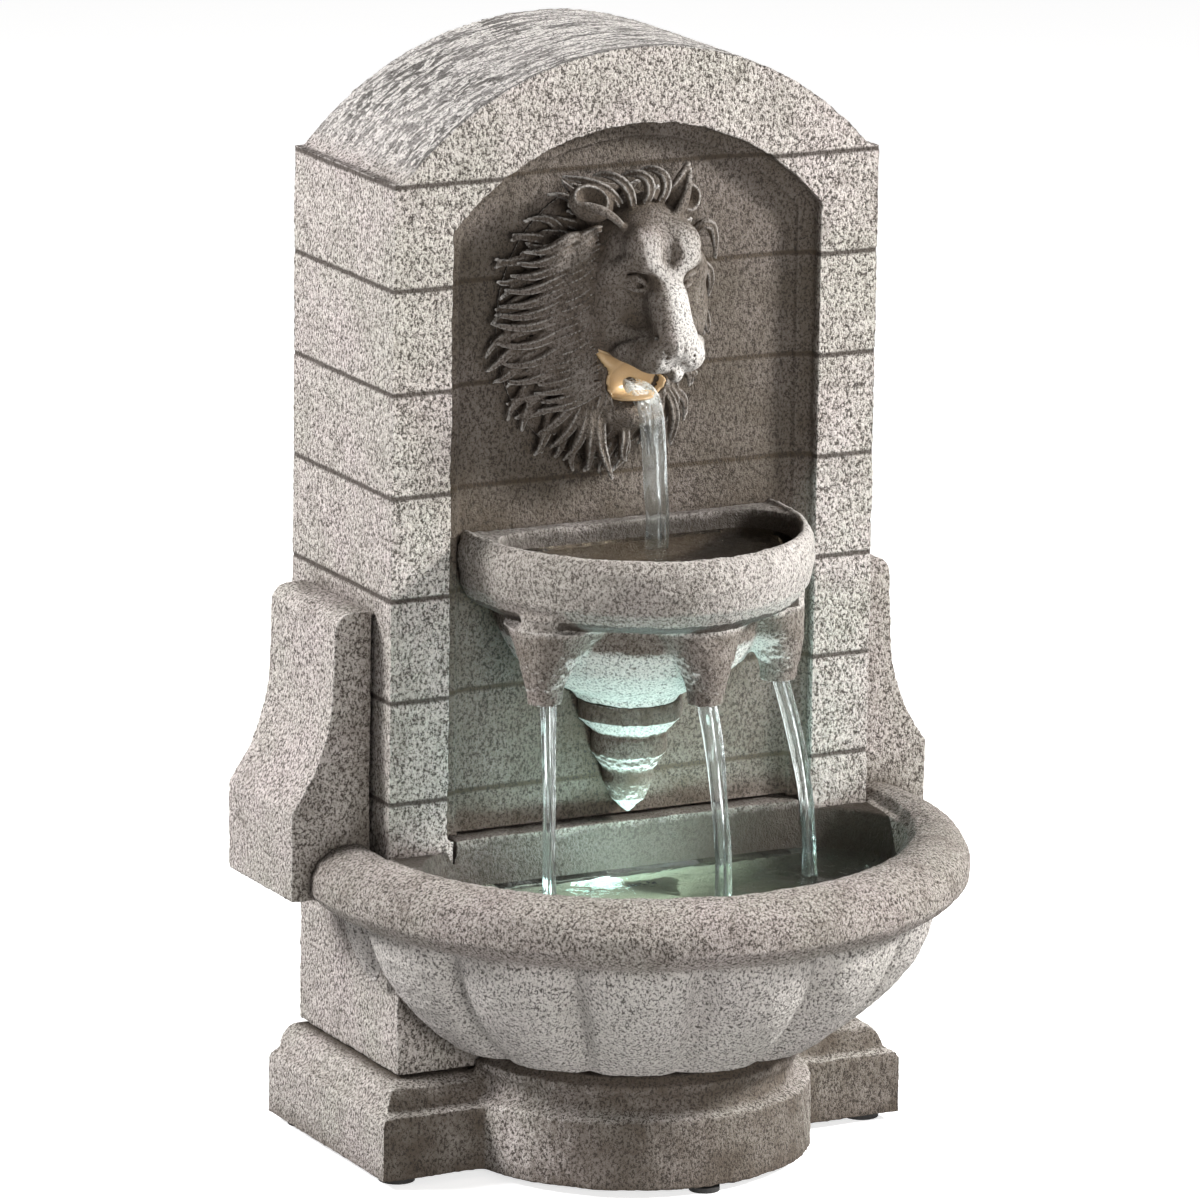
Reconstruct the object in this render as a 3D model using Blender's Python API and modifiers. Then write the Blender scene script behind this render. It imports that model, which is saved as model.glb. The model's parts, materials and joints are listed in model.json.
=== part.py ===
"""A lion head fountain of cast stone, with its pump, lamp, hose and service door.

Metres, +Z up. The front faces -Y, the origin lies on the ground under the middle
of the fountain's outer box. Y values named here count from the column's front face.
"""
import math

import bmesh
import bpy
from mathutils import Matrix, Vector

# Clearances
GAP = 0.0003
RUNNING_GAP = 0.0006
OVERSHOOT = 0.01
FAR = 0.25

# Wall column
COLUMN_WIDTH = 0.382
COLUMN_DEPTH = 0.1625
COLUMN_BOTTOM = 0.199
SHOULDER_Z = 0.711
SHOULDER_LEDGE = 0.0075
ROOF_RISE = 0.084
COLUMN_WALL = 0.014
BACK_WALL = 0.010
FRONT_WALL = 0.027
FRONT_STRIP = 0.048
NICHE_WIDTH = COLUMN_WIDTH - 2 * FRONT_STRIP
NICHE_SPRING_Z = 0.6725
NICHE_RISE = 0.066
NICHE_DEPTH = 0.0165
FRAME_DEPTH = 0.0125
FRAME_WIDTH = 0.0115
COURSE_HEIGHT = 0.0730
COURSE_COUNT = 7
GROOVE_HALF = 0.0016

# Buttresses
BUTTRESS_FRONT = 0.0254
BUTTRESS_BACK = 0.1327
BUTTRESS_WIDTH = 0.063
BUTTRESS_NECK_WIDTH = 0.0315
BUTTRESS_REACH = COLUMN_WIDTH / 2 + BUTTRESS_WIDTH
BUTTRESS_NECK = COLUMN_WIDTH / 2 + BUTTRESS_NECK_WIDTH
BUTTRESS_BLOCK_TOP = 0.2645
BUTTRESS_NECK_Z = 0.356
BUTTRESS_TOP = 0.405
BUTTRESS_TOP_ROUND = 0.0135
BUTTRESS_FLARE = 2.2

# Pedestal and plinth
PEDESTAL_INSET = 0.0075
PEDESTAL_WIDTH = COLUMN_WIDTH - 2 * PEDESTAL_INSET
PEDESTAL_WALL = 0.012
PLINTH_SPREAD = 0.0235
PLINTH_WIDTH = PEDESTAL_WIDTH + 2 * PLINTH_SPREAD
PLINTH_FRONT = -0.029
PLINTH_BOTTOM = 0.004
PLINTH_BLOCK_TOP = 0.0515
PLINTH_TOP = 0.0715
PLINTH_WALL = 0.040
DRUM_TOP = 0.0570
DRUM_WALL = 0.026
FOOT_TOP = 0.0860
PAD_RADIUS = 0.013
PAD_INSET = 0.021

# Lower basin
BASIN_SPREAD = 0.0505
BASIN_RADIUS = COLUMN_WIDTH / 2 + BASIN_SPREAD
BASIN_RIM_TOP = 0.2405
BASIN_RIM_BOTTOM = 0.190
BASIN_RIM_TUCK = 0.020
BASIN_RIM_SINK = 0.007
BASIN_RIM_INNER_STEPS = ((0.000, BASIN_RIM_SINK), (0.007, 0.0015), (0.018, 0.000))
BASIN_RIM_OUTER_STEPS = ((0.018, 0.003), (0.006, 0.011))
BASIN_RIM_BULGE = 0.003
BASIN_RIM_FALL = 0.010
BASIN_RIM_TOE = 0.008
BASIN_RIM_TOE_HEIGHT = 0.006
BASIN_MOUTH_FLARE = 0.002
BASIN_REAR = 0.002
CORNER_SHARE = 0.42
BASIN_RIM_WIDTH = 0.0475
BASIN_OPENING_RADIUS = BASIN_RADIUS - BASIN_RIM_WIDTH
BASIN_OPENING_CORNER = 0.055
BASIN_BELLY_INSET = 0.0215
BASIN_BELLY_RADIUS = BASIN_RADIUS - BASIN_BELLY_INSET
BASIN_BELLY_TAPER = 0.0820
BASIN_BELLY_FOOT_RADIUS = BASIN_BELLY_RADIUS - BASIN_BELLY_TAPER
BASIN_BELLY_TUCK = 0.0180
BASIN_BELLY_END_RADIUS = BASIN_BELLY_FOOT_RADIUS - BASIN_BELLY_TUCK
BASIN_FLOOR_Z = 0.118
BASIN_INSIDE = ((0.008, 0.2055, 0.000), (0.034, 0.157, -0.004),
                (0.060, 0.131, -0.010), (0.089, BASIN_FLOOR_Z, -0.018))
LOBE_COUNT = 14
LOBE_SWELL = 0.0200
LOBE_SEGMENTS = 7

# Round foot under the basin
FOOT_NECK_SETBACK = 0.003
FOOT_NECK_RADIUS = BASIN_BELLY_END_RADIUS - FOOT_NECK_SETBACK
FOOT_RING_SWELL = 0.0065
FOOT_RING_RADIUS = FOOT_NECK_RADIUS + FOOT_RING_SWELL
DRUM_SPREAD = 0.015
DRUM_RADIUS = FOOT_NECK_RADIUS + DRUM_SPREAD

# Neck and sump tank behind the basin
NECK_SIDE_ROOM = 0.005
TANK_WIDTH = NICHE_WIDTH - 2 * NECK_SIDE_ROOM
TANK_BACK = 0.146
TANK_BOTTOM = 0.100
TANK_TOP = 0.2395
TANK_WALL = 0.010
TANK_FLOOR = 0.112
TANK_FRONT_INSIDE = 0.036
NECK_OVERLAP = 0.02
PASSAGE_WIDTH = 0.070
PASSAGE_REACH = 0.06
PASSAGE_BOTTOM = 0.128
PASSAGE_TOP = 0.163
GRILLE_THICKNESS = 0.004
GRILLE_FRONT = 0.012
GRILLE_FRAME = 0.004
GRILLE_SLOTS = 6
GRILLE_BAR = 0.003

# Upper bowl
BOWL_X = -0.006
BOWL_RADIUS = 0.1425
BOWL_SIDE_ROOM = 0.013
BOWL_SIDE_RADIUS = NICHE_WIDTH / 2 - BOWL_SIDE_ROOM
BOWL_RIM_TOP = 0.4605
BOWL_RIM_BOTTOM = 0.4020
BOWL_RIM_WIDTH = 0.0145
BOWL_OPENING_RADIUS = BOWL_RADIUS - BOWL_RIM_WIDTH
BOWL_BELLY_INSET = 0.0345
BOWL_BELLY_RADIUS = BOWL_RADIUS - BOWL_BELLY_INSET
BOWL_BELLY_TAPER = 0.0640
BOWL_BOTTOM_RADIUS = BOWL_BELLY_RADIUS - BOWL_BELLY_TAPER
BOWL_BOTTOM_Z = 0.3300
BOWL_SEGMENTS = 56
BOWL_FLOOR_Z = 0.4050
BOWL_FLOOR_TAPER = 0.048
BOWL_FLOOR_RADIUS = BOWL_OPENING_RADIUS - BOWL_FLOOR_TAPER
BOWL_RIM_OUTER_STEPS = ((0.006, 0.002), (0.001, 0.010), (0.000, 0.024))
BOWL_RIM_INNER_DROP = 0.003
BOWL_RIM_LIP = 0.004
BOWL_BAND_STEPS = ((0.004, 0.018), (0.013, 0.006))
BOWL_UNDERCUT = 0.010
BOWL_BELLY_TURNS = (14, 32, 50, 66)
BOWL_BOTTOM_TAPER = 0.9
BOWL_OPENING_CORNER = 0.034
BOWL_INSIDE_LEVELS = ((0.000, 0.003, 0.005), (0.006, 0.000, 0.030))
BOWL_FLOOR_ROUND = 0.016
BOWL_FLOOR_RISE = 0.008
BOWL_WALL_REAR = -0.006
BOWL_FLOOR_REAR = -0.014
SPOUT_PLACES = ((212.7, 0.0049), (273.7, -0.0008), (323.7, 0.0))
SPOUT_SPOTS = [(BOWL_X + (BOWL_BELLY_RADIUS + out) * math.cos(math.radians(turn)),
                (BOWL_BELLY_RADIUS + out) * math.sin(math.radians(turn))) for turn, out in SPOUT_PLACES]
SPOUT_RADIUS = 0.0135
SPOUT_FLARE = 0.0055
SPOUT_BORE = 0.0090
SPOUT_BOTTOM = 0.3480
SPOUT_FEED = 0.0055
SPOUT_FEED_START = 0.60
SPOUT_OVERLAP = 0.010
BOLT_HEAD_RADIUS = 0.0055
BOLT_HEAD_HEIGHT = 0.004
BOLT_RADIUS = 0.003
BOWL_BOLT_SPREAD = 0.050
BOWL_BOLT_Z = 0.385
BOWL_BOLT_DEPTH = 0.020

# Pendant under the bowl
PENDANT_AXIS_Y = 0.006
PENDANT_STEPS = ((0.0385, 0.3150, 0.3030), (0.0280, 0.2890, 0.2755), (0.0195, 0.2675, 0.2540))
PENDANT_TAPER = 0.68
PENDANT_TIP_Z = 0.2420
PENDANT_BOLT_Z = 0.3180
PENDANT_STEP_GROOVE = 0.0008
PENDANT_TIP_RADIUS = 0.004
PENDANT_TIP_HEIGHT = 0.003

# Lion mask
LION_X = -0.008
LION_BASE_Z = 0.600
LION_VOXEL = 0.0046
LION_KEEP = 0.26
MANE_REACH_RIGHT = 0.074
MANE_REACH_LEFT = 0.094
MANE_REACH_UP = 0.108
MANE_REACH_DOWN = 0.112
MANE_SWIRL = 9.0
MANE_RUFFLE = 0.05
MANE_CREST = 1.25
MANE_TIP_DEPTH = 0.45
LOCK_TIP_SHARE = 0.45
OUTER_LOCKS = (28, 0.60, 0.97, 0.012, 4.0)
INNER_LOCKS = (20, 0.46, 0.80, 0.026, 12.0)
LOCK_RADIUS = 0.0115

# Forms of the face: centre and radii, each along x, depth and z
MANE_BED = ((-0.010, 0.004, LION_BASE_Z), (0.076, 0.024, 0.098))
SKULL = ((0.0, 0.022, 0.628), (0.047, 0.038, 0.055))
FOREHEAD = ((0.0, 0.044, 0.660), (0.030, 0.020, 0.020))
BROW = ((0.016, 0.056, 0.648), (0.016, 0.014, 0.011))
CHEEK = ((0.034, 0.038, 0.602), (0.018, 0.020, 0.030))
MUZZLE = ((0.012, 0.064, 0.5835), (0.015, 0.020, 0.0140))
EYE = ((0.021, 0.052, 0.630), (0.009, 0.007, 0.006))
BRIDGE = ((0.0, 0.060, 0.622), (0.015, 0.018, 0.032))
BRIDGE_ROLL = 18
NOSE = ((0.0, 0.077, 0.594), (0.0135, 0.0090, 0.0085))
JAW = ((0.0, 0.018, 0.541), (0.022, 0.016, 0.0115))
EAR = ((0.030, 0.030, 0.672), (0.040, 0.034, 0.690), (0.037, 0.030, 0.700))
EAR_RADIUS = 0.0130
EAR_TIP_RADIUS = 0.0050
BEARD = ((0.6, 0.018, 0.538), (1.0, 0.020, 0.518), (1.1, 0.008, 0.494))
BEARD_SPREAD = 0.014
BEARD_SIDE_LIFT = 0.009
BEARD_RADIUS = 0.011
BEARD_TIP_RADIUS = 0.003
MOUTH = ((0.0, 0.044, 0.564), (0.0200, 0.032, 0.0155))
MASK_BOLT_SPREAD = 0.040
MASK_BOLT_Z = 0.640
MASK_BOLT_DEPTH = 0.012

# Mouth spout and hose
SPOUT_AXIS_Z = 0.5560
SPOUT_TUBE_RADIUS = 0.0065
SPOUT_TUBE_BORE = 0.0045
SPOUT_TAIL_END = 0.0640
TROUGH_WIDTH = 0.024
TROUGH_FRONT = -0.0160
TROUGH_BACK = 0.0020
TROUGH_WALL = 0.0020
TROUGH_DROP = 0.0110
TROUGH_RISE = 0.0030
SPOUT_OVERHANG = 0.0040
SPOUT_NUT_RADIUS = 0.0125
SPOUT_NUT_LENGTH = 0.0070
SPOUT_WASHER_RADIUS = 0.0115
SPOUT_WASHER_THICKNESS = 0.0016
HOSE_RADIUS = 0.0088
HOSE_BORE = 0.0071
HOSE_SLEEVE = 0.0110
HOSE_BEND = 0.0560
CLAMP_RADIUS = 0.0106
CLAMP_WIDTH = 0.0060
CLAMP_EAR = 0.0050

# Pump
PUMP_X = -0.012
PUMP_Y = 0.0860
PUMP_LEG = 0.0060
PUMP_HEIGHT = 0.040
PUMP_DEPTH = 0.044
PUMP_BODY_LENGTH = 0.040
COVER_LENGTH = 0.0200
COVER_FACE = 0.0055
CHAMBER_RADIUS = 0.0140
ROTOR_RADIUS = 0.0078
ROTOR_LENGTH = 0.0250
ROTOR_WELL_CLEARANCE = 0.0010
VANE_RADIUS = 0.0120
VANE_LENGTH = 0.0080
VANE_COUNT = 5
VANE_THICKNESS = 0.0020
HUB_RADIUS = 0.0040
SHAFT_RADIUS = 0.0012
SHAFT_SEAT = 0.0022
OUTLET_RADIUS = 0.0065
OUTLET_BORE = 0.0045
OUTLET_OFFSET = 0.0085
OUTLET_LENGTH = 0.0160
DIAL_RADIUS = 0.0120
DIAL_THICKNESS = 0.0030
DIAL_GRIP = 0.0040
DIAL_PIN_RADIUS = 0.0020
DIAL_PIN_LENGTH = 0.0022
INTAKE_RADIUS = 0.0085
INTAKE_HOLE = 0.0022
INTAKE_COUNT = 3
CUP_RADIUS = 0.0070
CUP_NECK = 0.0030

# Lamp on the basin floor
LAMP_Y = -0.070
LAMP_RADIUS = 0.025
LAMP_HEIGHT = 0.014
LAMP_WELL_RADIUS = 0.0195
LAMP_FLOOR = 0.003
BOARD_THICKNESS = 0.0016
LENS_RISE = 0.005
BEZEL_LIP = 0.0035
BEZEL_HEIGHT = 0.004

# Service door in the back
DOOR_BOTTOM = 0.250
DOOR_TOP = 0.500
DOOR_HALF_OPENING = 0.101
DOOR_ROOM = 0.0015
DOOR_EDGE = DOOR_HALF_OPENING - DOOR_ROOM
DOOR_INNER = 0.1530
DOOR_THICKNESS = 0.0050
HINGE_INSET = 0.0040
PIN_RADIUS = 0.0013
PIN_HOLE = 0.0017
PIN_REACH = 0.0100
KNOB_INSET = 0.0140
KNOB_Z = 0.375
KNOB_RADIUS = 0.0105
KNOB_DISC = 0.0020
KNOB_GRIP = 0.0018
KNOB_SHAFT = 0.0030
CAM_THICKNESS = 0.0030
CAM_WIDTH = 0.0120
CAM_REACH = 0.0260
CAM_TAIL = 0.0070

# Cable gland in the back wall
GLAND_X = -0.060
GLAND_Z = 0.2250
GLAND_RADIUS = 0.0077
GLAND_FLANGE = 0.0108
GLAND_FLANGE_THICKNESS = 0.0024
GLAND_BORE = 0.0035
GLAND_TAIL = 0.0065
GLAND_NUT = 0.0125
GLAND_NUT_LENGTH = 0.0050

# Bolts that hold the buttresses
BUTTRESS_BOLT_Y = 0.0790
BUTTRESS_BOLT_Z = (0.2500, 0.3600)
BUTTRESS_BOLT_GRIP = 0.0120

# The column's front face lies here, so that the outer box is centred on the origin
FACE_Y = (BASIN_RADIUS - COLUMN_DEPTH) / 2

PART = None
CUTTERS = None


def clear_scene():
    """Remove every object of the starting scene."""
    for obj in list(bpy.data.objects):
        bpy.data.objects.remove(obj, do_unlink=True)


def make_collections():
    """Make the collection of the fountain and the one for its cutters."""
    global PART, CUTTERS
    PART = bpy.data.collections.new("lion_head_fountain")
    CUTTERS = bpy.data.collections.new("cutters")
    bpy.context.scene.collection.children.link(PART)
    bpy.context.scene.collection.children.link(CUTTERS)


def material(name, colour, roughness, metallic=0.0):
    """A plain Principled material."""
    made = bpy.data.materials.new(name)
    made.use_nodes = True
    shader = made.node_tree.nodes["Principled BSDF"]
    shader.inputs["Base Color"].default_value = (*colour, 1.0)
    shader.inputs["Roughness"].default_value = roughness
    shader.inputs["Metallic"].default_value = metallic
    return made


def stone(name):
    """Warm grey cast stone."""
    return material(name, (0.45, 0.41, 0.36), 0.9)


def black_plastic(name):
    """Black moulded plastic."""
    return material(name, (0.02, 0.02, 0.022), 0.5)


def black_rubber(name):
    """Black rubber."""
    return material(name, (0.03, 0.03, 0.03), 0.8)


def steel(name):
    """Bright stainless steel."""
    return material(name, (0.6, 0.6, 0.6), 0.3, 1.0)


def world(x, y, z):
    """A point whose y counts from the column's front face."""
    return Vector((x, FACE_Y + y, z))


def mesh_from(bm, name):
    """Turn a bmesh into a mesh with its faces pointing out and its corners sharp."""
    bmesh.ops.recalc_face_normals(bm, faces=bm.faces)
    for face in bm.faces:
        face.smooth = len(face.verts) <= 4
    mesh = bpy.data.meshes.new(name)
    bm.to_mesh(mesh)
    bm.free()
    mesh.set_sharp_from_angle(angle=math.radians(35))
    return mesh


def place(name, mesh, finish, location=(0, 0, 0), rotation=(0, 0, 0)):
    """Add a visible piece."""
    obj = bpy.data.objects.new(name, mesh)
    obj.location = location
    obj.rotation_euler = rotation
    PART.objects.link(obj)
    obj.data.materials.append(finish)
    return obj


def hide_cutter(name, mesh, location=(0, 0, 0), rotation=(0, 0, 0)):
    """Add a cutter or a shape that is joined into a piece."""
    obj = bpy.data.objects.new(name, mesh)
    obj.location = location
    obj.rotation_euler = rotation
    obj.hide_render = True
    obj.display_type = "WIRE"
    CUTTERS.objects.link(obj)
    return obj


def boolean(obj, other, operation):
    """Put a Boolean modifier on a piece."""
    modifier = obj.modifiers.new(other.name, "BOOLEAN")
    modifier.object = other
    modifier.operation = operation
    modifier.solver = "EXACT"
    return modifier


def cut(obj, *others):
    """Cut shapes out of a piece."""
    for other in others:
        boolean(obj, other, "DIFFERENCE")


def join(obj, *others):
    """Join shapes into a piece."""
    for other in others:
        boolean(obj, other, "UNION")


def keep_inside(obj, other):
    """Keep only what lies inside another shape."""
    boolean(obj, other, "INTERSECT")


def soften(obj, width, segments=2, angle=40):
    """Round the sharp edges of a piece."""
    modifier = obj.modifiers.new("rounding", "BEVEL")
    modifier.width = width
    modifier.segments = segments
    modifier.limit_method = "ANGLE"
    modifier.angle_limit = math.radians(angle)
    return modifier


def box_mesh(name, x, y, z):
    """A box from low to high along x, y and z, with y counted from the column's face."""
    bm = bmesh.new()
    bmesh.ops.create_cube(bm, size=1.0)
    size = Vector((x[1] - x[0], y[1] - y[0], z[1] - z[0]))
    centre = world((x[0] + x[1]) / 2, (y[0] + y[1]) / 2, (z[0] + z[1]) / 2)
    bmesh.ops.scale(bm, vec=size, verts=bm.verts)
    bmesh.ops.translate(bm, vec=centre, verts=bm.verts)
    return mesh_from(bm, name)


def add_rod(bm, radius, start, end, sides, tip_radius=None):
    """Add a cylinder or cone between two points, with y counted from the column's face."""
    foot = world(*start)
    head = world(*end)
    along = head - foot
    turn = along.to_track_quat("Z", "Y").to_matrix().to_4x4()
    matrix = Matrix.Translation((foot + head) / 2) @ turn
    bmesh.ops.create_cone(
        bm, cap_ends=True, segments=sides, radius1=radius,
        radius2=radius if tip_radius is None else tip_radius,
        depth=along.length, matrix=matrix)


def rod_mesh(name, radius, start, end, sides=24, tip_radius=None):
    """A cylinder or cone between two points."""
    bm = bmesh.new()
    add_rod(bm, radius, start, end, sides, tip_radius)
    return mesh_from(bm, name)


def box_cutter(name, x, y, z):
    """A box that cuts or joins."""
    return hide_cutter(name, box_mesh(name, x, y, z))


def rod_cutter(name, radius, start, end, sides=24):
    """A cylinder that cuts or joins."""
    return hide_cutter(name, rod_mesh(name, radius, start, end, sides))


def prism_mesh(name, outline, y):
    """An outline in x and z, extruded from low to high along y."""
    bm = bmesh.new()
    corners = [bm.verts.new(world(px, y[0], pz)) for px, pz in outline]
    face = bm.faces.new(corners)
    grown = bmesh.ops.extrude_face_region(bm, geom=[face])
    moved = [item for item in grown["geom"] if isinstance(item, bmesh.types.BMVert)]
    bmesh.ops.translate(bm, vec=(0, y[1] - y[0], 0), verts=moved)
    return mesh_from(bm, name)


def loft_mesh(name, rings):
    """A closed skin over rings of equally many points, from the first to the last."""
    bm = bmesh.new()
    rows = [[bm.verts.new(point) for point in ring] for ring in rings]
    count = len(rings[0])
    for low, high in zip(rows, rows[1:]):
        for k in range(count):
            after = (k + 1) % count
            bm.faces.new((low[k], low[after], high[after], high[k]))
    bm.faces.new(list(reversed(rows[0])))
    bm.faces.new(rows[-1])
    return mesh_from(bm, name)


def turned_mesh(name, profile, closed):
    """The line of a turned shape: radius and height from top to bottom."""
    mesh = bpy.data.meshes.new(name)
    points = [(radius, 0.0, height) for radius, height in profile]
    edges = [(k, k + 1) for k in range(len(points) - 1)]
    if closed:
        edges.append((len(points) - 1, 0))
    mesh.from_pydata(points, edges, [])
    return mesh


def spin(obj, steps):
    """Turn a profile into a round shape."""
    screw = obj.modifiers.new("turning", "SCREW")
    screw.axis = "Z"
    screw.angle = math.tau
    screw.steps = steps
    screw.render_steps = steps
    screw.use_merge_vertices = True
    screw.merge_threshold = 0.0001
    screw.use_smooth_shade = True


def turned(name, profile, finish, centre, rotation=(0, 0, 0), steps=32, closed=False):
    """A turned piece, its axis along its own z."""
    obj = place(name, turned_mesh(name, profile, closed), finish, world(*centre), rotation)
    spin(obj, steps)
    return obj


def turned_cutter(name, profile, centre, rotation=(0, 0, 0), steps=32, closed=False):
    """A turned shape that cuts or joins."""
    obj = hide_cutter(name, turned_mesh(name, profile, closed), world(*centre), rotation)
    spin(obj, steps)
    return obj


ALONG_Y = (-math.pi / 2, 0, 0)
ALONG_X = (0, math.pi / 2, 0)


def arc(centre, radius, start, end, count):
    """Points along an arc in a plane, angles in degrees."""
    points = []
    for k in range(count + 1):
        angle = math.radians(start + (end - start) * k / count)
        points.append((centre[0] + radius * math.cos(angle), centre[1] + radius * math.sin(angle)))
    return points


def arch_points(half_width, spring_z, rise, inset, side, count):
    """An arch from its right foot to its left, moved inwards by an inset."""
    radius = (half_width ** 2 + rise ** 2) / (2 * rise)
    centre_z = spring_z + rise - radius
    inner = radius - inset
    spread = math.degrees(math.asin(side / inner))
    return arc((0.0, centre_z), inner, 90 - spread, 90 + spread, count)


def column_outline(inset, bottom):
    """The column's front outline with its arched roof."""
    half = COLUMN_WIDTH / 2
    side = half - inset if inset else half - SHOULDER_LEDGE
    arch = arch_points(half - SHOULDER_LEDGE, SHOULDER_Z, ROOF_RISE, inset, side, 8 if inset else 16)
    if inset:
        return [(-side, bottom), (side, bottom)] + arch
    return [(-half, bottom), (half, bottom), (half, SHOULDER_Z)] + arch + [(-half, SHOULDER_Z)]


def niche_outline(inset, bottom):
    """The niche's outline, moved inwards by an inset."""
    half = NICHE_WIDTH / 2
    side = half - inset
    return [(-side, bottom), (side, bottom)] + arch_points(
        half, NICHE_SPRING_Z, NICHE_RISE, inset, side, 12)


def course_heights():
    """Heights of the mortar lines, counted down from just under the shoulder."""
    first = SHOULDER_Z - 2 * GROOVE_HALF
    return [first - k * COURSE_HEIGHT for k in range(COURSE_COUNT)]


def groove_cutter(name, lines):
    """Mortar grooves, each a square bar standing on its edge."""
    bm = bmesh.new()
    for start, end in lines:
        add_rod(bm, GROOVE_HALF, start, end, 4)
    return hide_cutter(name, mesh_from(bm, name))


def make_column():
    """The hollow column with its niche, service opening and mortar lines."""
    half = COLUMN_WIDTH / 2
    obj = place("wall_column", prism_mesh("wall_column", column_outline(0.0, COLUMN_BOTTOM),
                (0.0, COLUMN_DEPTH)), stone("column_stone"))
    hollow = hide_cutter("column_hollow", prism_mesh(
        "column_hollow", column_outline(COLUMN_WALL, COLUMN_BOTTOM - OVERSHOOT),
        (FRONT_WALL, COLUMN_DEPTH - BACK_WALL)))
    niche_foot = TANK_TOP + GAP
    frame = hide_cutter("niche_frame", prism_mesh(
        "niche_frame", niche_outline(0.0, niche_foot), (-OVERSHOOT, FRAME_DEPTH)))
    recess = hide_cutter("niche_recess", prism_mesh(
        "niche_recess", niche_outline(FRAME_WIDTH, niche_foot), (FRAME_DEPTH / 2, NICHE_DEPTH)))
    neck = box_cutter("basin_neck_opening", (-TANK_WIDTH / 2 - GAP, TANK_WIDTH / 2 + GAP),
                      (-OVERSHOOT, FRONT_WALL + OVERSHOOT),
                      (COLUMN_BOTTOM - OVERSHOOT, niche_foot))
    door = box_cutter("door_opening", (-DOOR_HALF_OPENING, DOOR_HALF_OPENING),
                      (COLUMN_DEPTH - BACK_WALL - OVERSHOOT, COLUMN_DEPTH + OVERSHOOT),
                      (DOOR_BOTTOM, DOOR_TOP))
    cut(obj, hollow, frame, recess, neck, door)
    cut_hardware_holes(obj)
    courses = course_heights()
    front = [((-half - OVERSHOOT, 0, z), (half + OVERSHOOT, 0, z)) for z in courses]
    sides = [((side * half, GROOVE_HALF * 2, z), (side * half, COLUMN_DEPTH + OVERSHOOT, z))
             for side in (-1, 1) for z in courses[1:]]
    cut(obj, groove_cutter("front_courses", front), groove_cutter("side_courses", sides))
    return obj


def cut_hardware_holes(obj):
    """Holes in the column for the spout, the bolts, the hinge pins and the gland."""
    through = (NICHE_DEPTH - OVERSHOOT, FRONT_WALL + OVERSHOOT)
    obj_holes = []
    spots = [(LION_X, SPOUT_AXIS_Z, SPOUT_TUBE_RADIUS + GAP)]
    for x, z in wall_bolt_spots():
        spots.append((x, z, BOLT_RADIUS + GAP))
    bm = bmesh.new()
    for x, z, radius in spots:
        add_rod(bm, radius, (x, through[0], z), (x, through[1], z), 12)
    obj_holes.append(hide_cutter("niche_wall_holes", mesh_from(bm, "niche_wall_holes")))
    bm = bmesh.new()
    half = COLUMN_WIDTH / 2
    for side in (-1, 1):
        for z in BUTTRESS_BOLT_Z:
            add_rod(bm, BOLT_RADIUS + GAP, (side * (half - COLUMN_WALL - OVERSHOOT),
                    BUTTRESS_BOLT_Y, z), (side * (half + OVERSHOOT), BUTTRESS_BOLT_Y, z), 12)
    obj_holes.append(hide_cutter("side_wall_holes", mesh_from(bm, "side_wall_holes")))
    bm = bmesh.new()
    x, y = hinge_axis()
    add_rod(bm, PIN_HOLE, (x, y, DOOR_BOTTOM - PIN_REACH - GAP), (x, y, DOOR_BOTTOM + 0.002), 12)
    add_rod(bm, PIN_HOLE, (x, y, DOOR_TOP - 0.002), (x, y, DOOR_TOP + PIN_REACH + GAP), 12)
    obj_holes.append(hide_cutter("hinge_holes", mesh_from(bm, "hinge_holes")))
    obj_holes.append(rod_cutter(
        "gland_hole", GLAND_RADIUS + GAP, (GLAND_X, COLUMN_DEPTH - BACK_WALL - OVERSHOOT, GLAND_Z),
        (GLAND_X, COLUMN_DEPTH + OVERSHOOT, GLAND_Z), 20))
    obj_holes.append(rod_cutter(
        "gland_recess", GLAND_FLANGE + GAP,
        (GLAND_X, COLUMN_DEPTH - GLAND_FLANGE_THICKNESS - 2 * GAP, GLAND_Z),
        (GLAND_X, COLUMN_DEPTH + OVERSHOOT, GLAND_Z), 20))
    cut(obj, *obj_holes)


def wall_bolt_spots():
    """Where bolts pass through the niche wall: mask, bowl and pendant."""
    return [(LION_X - MASK_BOLT_SPREAD, MASK_BOLT_Z), (LION_X + MASK_BOLT_SPREAD, MASK_BOLT_Z),
            (-BOWL_BOLT_SPREAD, BOWL_BOLT_Z), (BOWL_BOLT_SPREAD, BOWL_BOLT_Z),
            (0.0, PENDANT_BOLT_Z)]


def hinge_axis():
    """Plan position of the door's hinge axis."""
    return (-DOOR_EDGE + HINGE_INSET, DOOR_INNER + DOOR_THICKNESS / 2)


def buttress_outline():
    """Outline of the right buttress, from its inner foot round its scroll."""
    inner = COLUMN_WIDTH / 2 + GAP
    points = [(inner, COLUMN_BOTTOM), (BUTTRESS_REACH, COLUMN_BOTTOM)]
    steps = 8
    for k in range(steps + 1):
        t = k / steps
        z = BUTTRESS_BLOCK_TOP + t * (BUTTRESS_NECK_Z - BUTTRESS_BLOCK_TOP)
        points.append((BUTTRESS_NECK + (BUTTRESS_REACH - BUTTRESS_NECK) * (1 - t) ** BUTTRESS_FLARE, z))
    centre = (BUTTRESS_NECK - BUTTRESS_TOP_ROUND - 0.001, BUTTRESS_TOP - BUTTRESS_TOP_ROUND)
    points += arc(centre, BUTTRESS_TOP_ROUND, 0, 90, 5)
    points.append((inner, BUTTRESS_TOP))
    return points


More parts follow.
